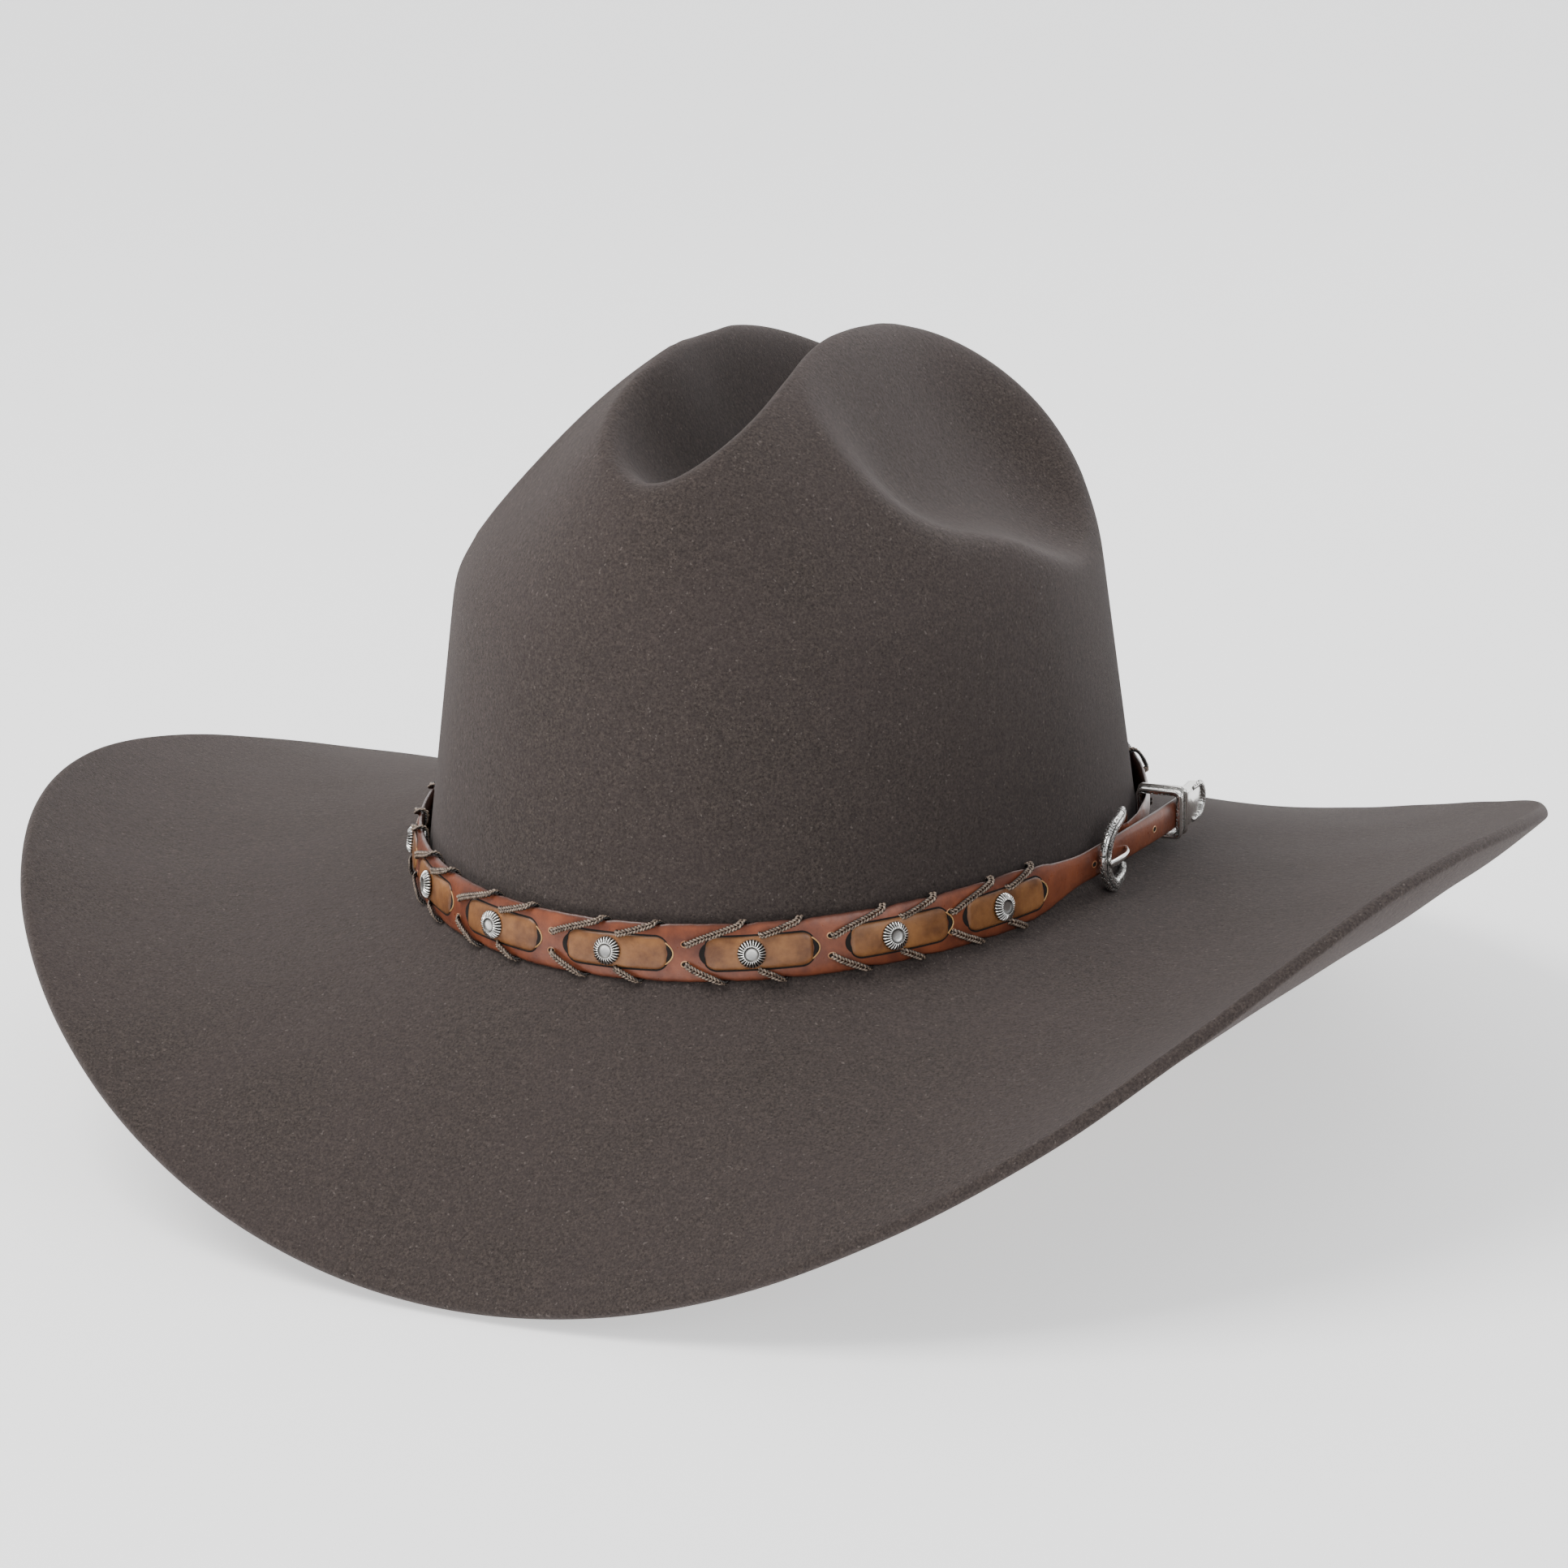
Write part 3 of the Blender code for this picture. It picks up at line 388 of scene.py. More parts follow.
def silver_finish(name, engraved=0.0, scale=700.0):
    """Silver plate with dark patina held in its hollows, and scrolls cut in it where it is engraved."""
    f = Finish(name)
    hollow = f.node("Attribute", out=2, attribute_name="worn")
    smudge = f.noise(420, 4, 0.6)
    dark = f.ramp(f.math("ADD", hollow, f.math("MULTIPLY", smudge, 0.25)), 0.35, 0.95)
    normal = f.bump(smudge, 0.00004, 0.5)
    if engraved:
        warp = f.noise(scale * 0.6, 3, 0.5)
        rings = f.node(
            "TexWave",
            {"Vector": f.place, "Scale": scale * 0.55, "Distortion": 14.0, "Detail": 2.0, "Detail Scale": 1.6},
            out=1,
            wave_type="BANDS",
            bands_direction="DIAGONAL",
        )
        cut = f.ramp(f.math("ADD", rings, f.math("MULTIPLY", warp, 0.3)), 0.28, 0.55, 1.0, 0.0)
        dark = f.math("MAXIMUM", dark, f.math("MULTIPLY", cut, engraved))
        normal = f.bump(f.math("SUBTRACT", 1.0, cut), 0.00016, 1.0, normal)
    shade = f.mix(dark, (0.86, 0.85, 0.82), (0.035, 0.031, 0.027))
    return f.set(
        Base_Color=shade,
        Metallic=1.0,
        Roughness=f.ramp(dark, 0.0, 1.0, 0.2, 0.6),
        Normal=normal,
    )


def cord_finish():
    """Waxed dark cord with paler rubbed strands, and painted shade on the sides of its plies that face the strap."""
    f = Finish("lace_cord_finish")
    strand = f.noise(1400, 3, 0.6)
    shade = f.mix(f.ramp(strand, 0.35, 0.6), linear(74, 58, 47), linear(176, 156, 138))
    # Painted shade: the ply sides that face the strap are darkened.
    underside_shade = f.node("Attribute", out=2, attribute_name="worn")
    shade = f.mix(f.ramp(underside_shade, 0.0, 0.45), shade, linear(22, 16, 12))
    return f.set(Base_Color=shade, Roughness=0.42, Specular_IOR_Level=0.5, Normal=f.bump(strand, 0.00004, 0.6))


def satin_finish():
    f = Finish("lining_satin_finish")
    thread = f.node("TexWave", {"Vector": f.place, "Scale": 900.0, "Distortion": 1.5, "Detail": 2.0}, out=1)
    cloud = f.noise(90, 3, 0.5)
    shade = f.mix(cloud, linear(196, 176, 140), linear(222, 206, 176))
    return f.set(
        Base_Color=shade,
        Roughness=0.38,
        Specular_IOR_Level=0.5,
        Sheen_Weight=0.3,
        Anisotropic=0.5,
        Normal=f.bump(f.math("ADD", thread, cloud), 0.00004, 0.6),
    )


def plain_finish(name, deep, pale, rough, scale=600.0, alpha=1.0, sheen=0.0):
    f = Finish(name)
    grain = f.noise(scale, 4, 0.6)
    return f.set(
        Base_Color=f.mix(grain, deep, pale),
        Roughness=f.ramp(grain, 0.3, 0.7, rough - 0.05, rough + 0.05),
        Alpha=alpha,
        Sheen_Weight=sheen,
        Normal=f.bump(grain, 0.00004, 0.5),
    )


# ---- Mesh helpers --------------------------------------------------------------------------------------


def piece(name, points, faces, finish, body, slot=None, replaces=(), worn=None, smooth=True):
    """A mesh in millimetres as a piece of the hat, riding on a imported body."""
    mesh = bpy.data.meshes.new(name)
    mesh.from_pydata((np.asarray(points, float) * MM).tolist(), [], [tuple(map(int, f)) for f in faces])
    if worn is not None:
        layer = mesh.attributes.new("worn", "FLOAT", "POINT")
        layer.data.foreach_set("value", np.asarray(worn, np.float32))
    if smooth:
        mesh.shade_smooth()
    mesh.materials.append(finish)
    obj = bpy.data.objects.new(name, mesh)
    bpy.context.scene.collection.objects.link(obj)
    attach(obj, body)
    if replaces:
        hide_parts(*replaces)
    return obj


def grid_faces(rows, columns, wrap_columns=False, wrap_rows=False):
    """Quads over a grid of points stored row after row."""
    r = np.arange(rows if wrap_rows else rows - 1)
    c = np.arange(columns if wrap_columns else columns - 1)
    r, c = np.meshgrid(r, c, indexing="ij")
    nr, nc = (r + 1) % rows, (c + 1) % columns
    return np.stack([r * columns + c, r * columns + nc, nr * columns + nc, nr * columns + c], -1).reshape(-1, 4)


class Parts:
    """Several small meshes gathered into one piece."""

    def __init__(self):
        self.points, self.faces, self.worn, self.count = [], [], [], 0

    def add(self, points, faces, worn=None):
        points = np.asarray(points, float).reshape(-1, 3)
        self.points.append(points)
        self.faces += [tuple(int(i) + self.count for i in face) for face in faces]
        self.worn.append(np.zeros(len(points)) if worn is None else np.asarray(worn, float).reshape(-1))
        self.count += len(points)

    def piece(self, name, finish, body, **more):
        points = np.concatenate(self.points)
        return piece(name, points, self.faces, finish, body, worn=np.concatenate(self.worn), **more)


def rounded(points, closed=False, step=0.5):
    """A smooth curve through points, resampled evenly."""
    p = np.asarray(points, float)
    ends = (p[-1:], p[:2]) if closed else (2 * p[:1] - p[1:2], 2 * p[-1:] - p[-2:-1])
    q = np.concatenate([ends[0], p, ends[1]])
    t = np.linspace(0, 1, 12, endpoint=False)[:, None]
    spans = []
    for a, b, c, d in zip(q, q[1:], q[2:], q[3:]):
        spans.append(0.5 * (2 * b + (c - a) * t + (2 * a - 5 * b + 4 * c - d) * t**2 + (3 * b - a - 3 * c + d) * t**3))
    if not closed:
        spans.append(p[-1:])
    curve = np.concatenate(spans)
    if closed:
        curve = np.concatenate([curve, curve[:1]])
    length = np.concatenate([[0], np.cumsum(np.linalg.norm(np.diff(curve, axis=0), axis=1))])
    count = max(int(length[-1] / step), 4)
    at = np.linspace(0, length[-1], count + 1)[: count if closed else count + 1]
    return np.stack([np.interp(at, length, curve[:, k]) for k in range(3)], -1)


def tangents(path, closed=False):
    if closed:
        t = np.roll(path, -1, 0) - np.roll(path, 1, 0)
    else:
        t = np.gradient(path, axis=0)
    return t / np.maximum(np.linalg.norm(t, axis=1)[:, None], 1e-9)


def sweep(path, side, up, section, closed=False, capped=True):
    """A closed section, given as (across, up) rows or one section for all, carried along a path."""
    section = np.asarray(section, float)
    if section.ndim == 2:
        section = np.repeat(section[None], len(path), 0)
    points = path[:, None] + section[..., :1] * side[:, None] + section[..., 1:] * up[:, None]
    rows, columns = points.shape[:2]
    faces = grid_faces(rows, columns, wrap_columns=True, wrap_rows=closed).tolist()
    if capped and not closed:
        faces.append(list(range(columns))[::-1])
        faces.append([(rows - 1) * columns + i for i in range(columns)])
    return points.reshape(-1, 3), faces


def oval(half_a, half_b, power=2.0, count=16):
    """A closed section outline, rounder or squarer by its power."""
    t = np.linspace(0, 2 * pi, count, endpoint=False)
    c, s = np.cos(t), np.sin(t)
    return np.stack([half_a * np.sign(c) * abs(c) ** (2 / power), half_b * np.sign(s) * abs(s) ** (2 / power)], -1)


def moved(matrix, points):
    m = np.array(matrix)
    return np.asarray(points, float) @ m[:3, :3].T + m[:3, 3]


# ---- The felt ------------------------------------------------------------------------------------------


def soft_shoulder(phi, ridge, reach=15.0):
    """Rows from the break up to the groove's edge, with the shoulder between wall and top made soft."""
    wall = [crown_wall(phi, s) for s in np.linspace(0, 1, 60)]
    top = [crown_top(phi, ridge + (1 - ridge) * cos(radians(a))) for a in np.linspace(1, 90, 160)]
    profile = np.array(wall + top)
    found = np.empty((26 + 26 + 46, len(phi), 3))
    for k in range(len(phi)):
        line = profile[:, k]
        length = np.concatenate([[0], np.cumsum(np.linalg.norm(np.diff(line, axis=0), axis=1))])
        bend = length[len(wall) - 1]
        low, high = bend - reach, bend + min(reach, (length[-1] - bend) * 0.5)
        at = np.concatenate([
            np.linspace(0, low, 27)[1:], np.linspace(low, high, 28)[1:-1], np.linspace(high, length[-1], 46),
        ])
        for axis in range(3):
            found[:, k, axis] = np.interp(at, length, line[:, axis])
    for _ in range(16):
        found[26:52] = found[26:52] * 0.5 + (found[25:51] + found[27:53]) / 4
    return list(found)


def build_felt():
    count = 420
    phi = np.linspace(-pi, pi, count, endpoint=False)
    rows = brim_rows(phi, np.linspace(1, 0, 64))
    at_break = len(rows) - 1
    ridge = ridge_reach(phi)
    rows += soft_shoulder(phi, ridge)
    rows += [crown_top(phi, ridge * s) for s in np.linspace(1, 0.02, 34)[1:]]
    grid = np.array(rows)
    for _ in range(14):
        near = slice(at_break - 3, at_break + 4)
        middle = (grid[at_break - 4 : at_break + 3] + grid[at_break - 2 : at_break + 5]) / 2
        grid[near] = grid[near] * 0.5 + middle * 0.5
    x, y = grid[..., 0], grid[..., 1]
    lumps = 0.22 * np.sin(x / 17 + 1.3 * np.sin(y / 23)) * np.sin(y / 19 + 0.8) + 0.12 * np.sin(x / 7.3) * np.sin(y / 8.1)
    around = np.roll(grid, -1, 1) - np.roll(grid, 1, 1)
    along = np.gradient(grid, axis=0)
    normal = np.cross(around, along)
    normal /= np.linalg.norm(normal, axis=2)[..., None]
    grid = grid + normal * lumps[..., None]
    under = grid - normal * FELT_T
    edge = []
    for a in np.radians((22.5, 45, 67.5, 90, 112.5, 135, 157.5)):
        middle = grid[0] - normal[0] * FELT_T / 2
        outward = -along[0] / np.linalg.norm(along[0], axis=1)[:, None]
        edge.append(middle + normal[0] * cos(a) * FELT_T / 2 + outward * sin(a) * 1.1)
    loop = np.concatenate([under[::-1], np.array(edge)[::-1], grid])
    total = len(loop)
    faces = grid_faces(total, count, wrap_columns=True).tolist()
    faces.append([(total - 1) * count + i for i in range(count)])
    faces.append(list(range(count))[::-1])
    piece("felt", loop.reshape(-1, 3), faces, felt_finish(), "hat", slot="fur_felt", replaces=("felt_body",))


# ---- The hatband ---------------------------------------------------------------------------------------

# One unit of the lace, from the hole before a tab to the hole after it: along from the button, up from the
# strap's mid line, and out from the strap's mid face.
UPPER_LACE = (
    (-15.7, 2.3, -1.35),
    (-15.6, 2.3, 0.2),
    (-15.0, 2.5, 1.75),
    (-12.4, 3.7, 1.95),
    (-8.6, 5.0, 1.8),
    (-5.0, 6.1, 1.6),
    (-2.9, 6.75, 1.25),
    (-2.0, 7.35, 0.0),
    (-1.4, 6.6, -1.3),
    (0.2, 5.2, -1.5),
    (1.6, 4.2, -1.2),
    (2.0, 4.1, 0.4),
    (2.8, 4.3, 1.8),
    (5.4, 5.1, 1.9),
    (9.0, 6.2, 1.6),
    (11.0, 6.8, 1.2),
    (11.9, 7.35, 0.0),
    (12.5, 6.5, -1.3),
    (14.6, 4.6, -1.5),
    (17.2, 3.0, -1.45),
)
LOWER_LACE = (
    (-15.7, -2.5, -1.35),
    (-15.6, -2.5, 0.2),
    (-15.0, -2.8, 1.75),
    (-12.6, -4.2, 1.85),
    (-9.8, -5.6, 1.65),
    (-7.8, -6.6, 1.3),
    (-6.6, -7.3, 0.0),
    (-5.6, -6.5, -1.3),
    (-2.6, -5.2, -1.5),
    (1.2, -4.3, -1.2),
    (1.6, -4.2, 0.4),
    (2.4, -4.4, 1.7),
    (4.4, -5.4, 1.7),
    (6.6, -6.6, 1.25),
    (7.6, -7.3, 0.0),
    (8.6, -6.4, -1.3),
    (11.6, -4.6, -1.5),
    (16.4, -3.0, -1.45),
)


def edge_wave(arc, side):
    """How far the strap's edge is drawn in where the lace goes over it, and bulges between."""
    nearest = min(CONCHO_ARCS, key=lambda a: abs(arc - a))
    if abs(arc - nearest) > 20 or arc > LEAVE_ARC:
        return 0.0
    wraps = (-2.0, 11.9) if side > 0 else (-6.6, 7.6)
    pull = sum(np.exp(-(((arc - nearest - w) / 2.4) ** 2)) for w in wraps)
    return -0.42 * pull + 0.22 + 0.06 * sin(arc * 1.7) * sin(arc * 0.61)


def strap_section(half_w, half_t, wave_up, wave_down, across=26):
    """The strap's outline: flat back, gently rounded front and soft edges. Rows of (out, up)."""
    share = np.cos(np.linspace(0, pi, across))
    width = np.where(share > 0, half_w + wave_up, half_w + wave_down)
    z = share * width
    body = (1 - abs(share) ** 7) ** 0.5
    front = half_t * body * (0.62 + 0.5 * (1 - share**2)) + half_t * 0.02
    back = -half_t * (0.95 * body + 0.02)
    section = np.concatenate([np.stack([front, z], -1), np.stack([back, z], -1)[::-1][1:-1]])
    # worn rises from 0 across the front to 1 at the edges, for their burnished dark; the back face is darker by a
    # further 0.3.
    worn = np.clip((abs(share) - 0.86) / 0.14, 0, 1) ** 1.5
    return section, np.concatenate([worn, np.clip(worn[::-1][1:-1] + 0.3, 0, 1)])


def build_strap():
    leather = leather_finish("strap_leather_finish", linear(98, 50, 34), linear(142, 78, 50), 0.33)
    ahead = band_ahead(BAR_PHI)
    out = right_of(ahead)
    fold = [(BAR + ahead * b - out * CHAPE_R, out) for b in (CHAPE_FOLD, 6.0, 4.0, 2.0, 0.0)]
    for turn in np.radians(np.linspace(15, 165, 11)):
        way = -ahead * sin(turn) - out * cos(turn)
        fold.append((BAR + way * CHAPE_R, -way))
    fold += [(BAR + ahead * f + out * CHAPE_R, -out) for f in (0.0, 2.0, 4.0, 6.0, CHAPE_FOLD)]
    points, worn = [], []
    for spot, inward in fold:
        section, edge = strap_section(CHAPE_HALF_W, CHAPE_T / 2, 0, 0)
        points.append([(*(spot - inward * s), BAR_Z + z) for s, z in section])
        worn.append(edge)
    for arc in np.arange(STRAP_START, LEAVE_ARC + BILLET_END, 0.75):
        _, _, _, half_w, half_t, _ = strap_at(arc)
        section, edge = strap_section(half_w, half_t, edge_wave(arc, 1), edge_wave(arc, -1))
        points.append([on_strap(arc, z, s) for s, z in section])
        worn.append(edge)
    rows, columns = len(points), len(points[0])
    faces = grid_faces(rows, columns, wrap_columns=True).tolist()
    faces += [list(range(columns))[::-1], [(rows - 1) * columns + i for i in range(columns)]]
    points = np.array(points).reshape(-1, 3)
    piece(
        "strap", points, faces, leather, "hatband", slot="strap_leather", replaces=("band_strap",), worn=np.concatenate(worn)
    )


def build_tabs():
    """The tabs of the inlay strip; the slots their ends go into, drawn as dark crescents of painted shadow, with a
    raised lip carrying a painted highlight at each tab's far end; and the incised line round each, drawn as dark
    strips of painted shadow along its top and bottom edges.
    """
    tan = leather_finish("inlay_leather_finish", linear(104, 64, 36), linear(156, 106, 62), 0.4, 520, 0.00014, 0.15)
    # shadow_finish is near-black: it colours the crescents and strips of painted shadow at the slots and along the
    # incised lines.
    shadow_finish = plain_finish("slot_shadow", linear(14, 9, 7), linear(26, 17, 12), 0.9)
    # A pale leather for the raised lip at each tab's far end: the paleness is a painted highlight.
    lip = leather_finish("highlight_lip", linear(176, 132, 80), linear(214, 176, 120), 0.34)
    tabs, painted_shadows, highlight_lips = Parts(), Parts(), Parts()
    half = 4.0
    for arc in CONCHO_ARCS:
        low = arc - TAB_L * TAB_SHARE_FRONT
        us = np.concatenate([np.linspace(0, 3.0, 10), np.linspace(3.5, TAB_L - 3.5, 34), np.linspace(TAB_L - 3.0, TAB_L, 10)])
        vs = np.sin(np.linspace(-pi / 2, pi / 2, 17))
        rows, shade = [], []
        for u in us:
            end = min(u, TAB_L - u) / 3.6
            width = half * (1 - 0.93 * (1 - min(1.0, end)) ** 2) ** 0.5
            dip = 0.8 * (1 - ease(end, 0.0, 0.4))
            belly = 0.12 * sin(pi * u / TAB_L)
            row = []
            for v in vs:
                z = v * width
                height = 0.9 * swell(z) + 0.55 * (1 - abs(v) ** 6) ** 0.5 - 0.12 - dip + belly
                row.append(on_strap(low + u, z, height))
                # worn here is painted shade: darker where the tab's ends dip into their slots and along its top and
                # bottom edges.
                shade.append(max(0.75 * dip, 0.8 * max(0.0, abs(v) - 0.9) / 0.1))
            rows.append(row)
        tabs.add(rows, grid_faces(len(us), len(vs)), shade)
        for end, sign in ((low, -1), (low + TAB_L, 1)):
            # A dark crescent of painted shadow just above the strap where the tab's end goes into its slot.
            outline = np.linspace(-1, 1, 15)
            bow = 1.9 * (1 - outline**2)
            crescent = []
            for depth, lift in ((-0.9, 0.05), (0.0, 0.07), (0.42, 0.05)):
                for o, b in zip(outline, bow):
                    z = o * 3.1
                    crescent.append(on_strap(end + sign * (b - 1.5 + depth * (1 - o**4)), z, 0.9 * swell(z) + lift))
            painted_shadows.add(crescent, grid_faces(3, 15) if sign < 0 else grid_faces(3, 15)[:, ::-1])
            if sign < 0:
                continue
            # At the far end only, a raised lip coloured pale as a painted highlight.
            ridge = [on_strap(end + b - 1.0, o * 2.6, 0.9 * swell(o * 2.6) + 0.08) for o, b in zip(outline, bow)]
            ridge = np.array(ridge)
            t = tangents(ridge)
            face = np.array([*right_of(band_ahead(phi_at(end))), 0.0])
            side = np.cross(t, face)
            tube, faces = sweep(ridge, side, np.repeat(face[None], len(ridge), 0), oval(0.17, 0.15, count=8))
            highlight_lips.add(tube, faces)
        line = []
        for u in np.linspace(0.6, TAB_L - 0.6, 60):
            line.append(u)
        # Dark strips of painted shadow along the incised line at the tab's top and bottom edges.
        for side in (1, -1):
            strip = []
            for reach, lift in ((half - 0.1, 0.02), (half + 0.17, 0.035), (half + 0.4, 0.015)):
                for u in line:
                    end = min(u, TAB_L - u) / 3.6
                    z = side * (reach - half + half * (1 - 0.93 * (1 - min(1.0, end)) ** 2) ** 0.5)
                    strip.append(on_strap(low + u, z, 0.9 * swell(z) + lift))
            faces = grid_faces(3, len(line))
            painted_shadows.add(strip, faces if side > 0 else faces[:, ::-1])
    tabs.piece("tabs", tan, "hatband", slot="inlay_leather", replaces=("inlay_strip",))
    painted_shadows.piece("tab_slots", shadow_finish, "hatband")
    highlight_lips.piece("slot_highlight_lips", lip, "hatband", slot="strap_leather")


def plied_cord(parts, route, spread=0.43, ply_r=0.29, twist_r=0.21, pitch=1.7):
    """A doubled lace along a route of strap coordinates: two cords side by side, each of two plies."""
    route = rounded(route, step=0.2)
    route[:, 0] = np.maximum(route[:, 0], STRAP_START + 9.0)
    path = np.array([on_strap(*p) for p in route])
    core = np.array([on_strap(a, np.clip(z, -5.6, 5.6), 0.0) for a, z, _ in route])
    ahead = tangents(path)
    away = path - core
    for k in range(1, len(away)):
        if np.linalg.norm(away[k]) < 0.6:
            away[k] = away[k - 1]
    away -= (away * ahead).sum(1)[:, None] * ahead
    away /= np.maximum(np.linalg.norm(away, axis=1)[:, None], 1e-6)
    across = np.cross(ahead, away)
    length = np.concatenate([[0], np.cumsum(np.linalg.norm(np.diff(path, axis=0), axis=1))])
    for strand in (-1, 1):
        for ply in (0, pi):
            turn = strand * 2 * pi * length / pitch + ply + strand
            middle = path + across * (strand * spread + twist_r * np.cos(turn))[:, None]
            middle = middle + away * (twist_r * np.sin(turn))[:, None]
            points, faces = sweep(middle, across, away, oval(ply_r, ply_r, count=8))
            height = ((points.reshape(len(path), 8, 3) - path[:, None]) * away[:, None]).sum(-1)
            # worn here is painted shade, strongest on the ply sides that face the strap.
            parts.add(points, faces, np.clip(0.55 - height * 1.25, 0, 1))


def build_laces():
    cord = cord_finish()
    for name, pattern, start in (("lace_upper", UPPER_LACE, 0), ("lace_lower", LOWER_LACE, 0)):
        route = []
        for arc in [CONCHO_ARCS[-1] - PITCH] + CONCHO_ARCS[::-1]:
            route += [(arc + a, z, off) for a, z, off in pattern]
        route = [p for p in route if p[0] > CONCHO_ARCS[-1] - 33.0]
        parts = Parts()
        plied_cord(parts, route)
        node = "upper_lace" if name == "lace_upper" else "lower_lace"
        parts.piece(name, cord, "hatband", slot="lace_cord", replaces=(node,))
    # A near-black disc of painted shadow fills each lace hole.
    shadow_finish = plain_finish("hole_shadow", linear(12, 8, 6), linear(22, 15, 11), 0.9)
    # A pale ring round each hole: a raised rim whose pale colour is a painted highlight.
    rim = leather_finish("hole_rim_highlight", linear(150, 96, 62), linear(206, 164, 122), 0.34)
    painted_shadows, highlight_rims = Parts(), Parts()
    spots = [(arc - 15.7, z) for arc in CONCHO_ARCS for z in (2.35, -2.5)]
    for arc, z in spots + [(LEAVE_ARC + distance, 0.0) for distance in HOLE_AT]:
        m = strap_matrix(arc, z, 0.9 * swell(z))
        t = np.linspace(0, 2 * pi, 20, endpoint=False)
        disc = [(0.0, 0.0, 0.05)] + [(1.0 * cos(a), 0.72 * sin(a), 0.05) for a in t]
        painted_shadows.add(moved(m, disc), [(0, 1 + i, 1 + (i + 1) % 20) for i in range(20)])
        ring = np.array([(1.02 * cos(a), 0.74 * sin(a), 0.03) for a in t])
        side = ring * (1, 1, 0) / np.linalg.norm(ring * (1, 1, 0), axis=1)[:, None]
        up = np.repeat([(0.0, 0.0, 1.0)], 20, 0)
        tube, faces = sweep(ring, side, up, oval(0.16, 0.12, count=8), closed=True)
        highlight_rims.add(moved(m, tube), faces)
    painted_shadows.piece("lace_hole_shadows", shadow_finish, "hatband")
    highlight_rims.piece("lace_hole_highlight_rims", rim, "hatband", slot="strap_leather")


def build_conchos():
    """Domed buttons with a fluted sunburst round a small dished centre."""
    silver = silver_finish("concho_silver")
    flutes, around = 26, 26 * 8
    t = np.linspace(0, 2 * pi, around, endpoint=False)
    wave = 0.5 + 0.5 * np.cos(t * flutes)
    profile = [(3.0, -0.1, 0.0), (3.42, 0.0, 0.3), (3.55, 0.3, 1.0), (3.5, 0.55, 1.0), (3.3, 0.8, 1.0)]
    profile += [(3.0, 1.06, 1.0), (2.7, 1.26, 0.95), (2.4, 1.4, 0.85), (2.1, 1.48, 0.6), (1.92, 1.5, 0.25)]
    profile += [(1.78, 1.42, 0.0), (1.66, 1.22, 0.0), (1.5, 1.08, 0.0), (1.1, 1.0, 0.0), (0.6, 0.97, 0.0), (0.05, 0.96, 0.0)]
    shank = Parts()
    for number, arc in enumerate(CONCHO_ARCS):
        rng = np.random.default_rng(number)
        m = strap_matrix(arc, 0.0, 1.75) @ Matrix.Rotation(rng.uniform(0, 6.28), 4, "Z")
        m = m @ Matrix.Rotation(rng.uniform(-0.09, 0.09), 4, "X") @ Matrix.Rotation(rng.uniform(-0.09, 0.09), 4, "Y")
        points, worn = [], []
        for r, h, deep in profile:
            radius = r * (1 - 0.045 * deep * (1 - wave))
            height = h - 0.5 * deep * (1 - wave)
            points.append(np.stack([radius * np.cos(t), radius * np.sin(t), height], -1))
            floor = 0.75 if 1.4 < r < 1.8 else (0.36 if r < 1.4 else 0.0)
            worn.append(np.maximum(1.25 * deep * (1 - wave) ** 1.2, floor))
        faces = grid_faces(len(profile), around, wrap_columns=True).tolist()
        faces.append([(len(profile) - 1) * around + i for i in range(around)])
        name = f"concho_{number + 1:02d}"
        obj = piece(
            "button" + name[-3:], moved(m, np.concatenate(points)), faces, silver, "hatband",
            slot="antique_silver", replaces=(name,), worn=np.concatenate(worn),
        )
        outline = np.array([(0.9, -3.4), (0.9, 0.2)])
        ring = [[(r * cos(a), r * sin(a), h) for a in np.linspace(0, 2 * pi, 12, endpoint=False)] for r, h in outline]
        shank.add(moved(m, ring), grid_faces(2, 12, wrap_columns=True))
    shank.piece("button_shanks", silver, "hatband", slot="antique_silver")


# ---- The buckle set ------------------------------------------------------------------------------------

FRAME_L, FRAME_HALF_H, FRAME_RISE = 20.0, 7.7, 5.2


def buckle_matrix():
    ahead = billet_ahead(BAR_AT)
    out = right_of(ahead)
    return Matrix.Translation((*BAR, BAR_Z)) @ Matrix(((*-ahead, 0), (0, 0, 1), (*out, 0))).transposed().to_4x4()


def frame_rise(u):
    """How far the bowed frame stands out from the bar's plane, at a distance from the bar."""
    return FRAME_RISE * (1 - (1 - u / FRAME_L) ** 2)


def facing(path):
    """The bowed frame's outward direction at each point of a path on it."""
    slope = 2 * FRAME_RISE / FRAME_L * (1 - path[:, 0] / FRAME_L)
    normal = np.stack([-slope, np.zeros(len(path)), np.ones(len(path))], -1)
    return normal / np.linalg.norm(normal, axis=1)[:, None]


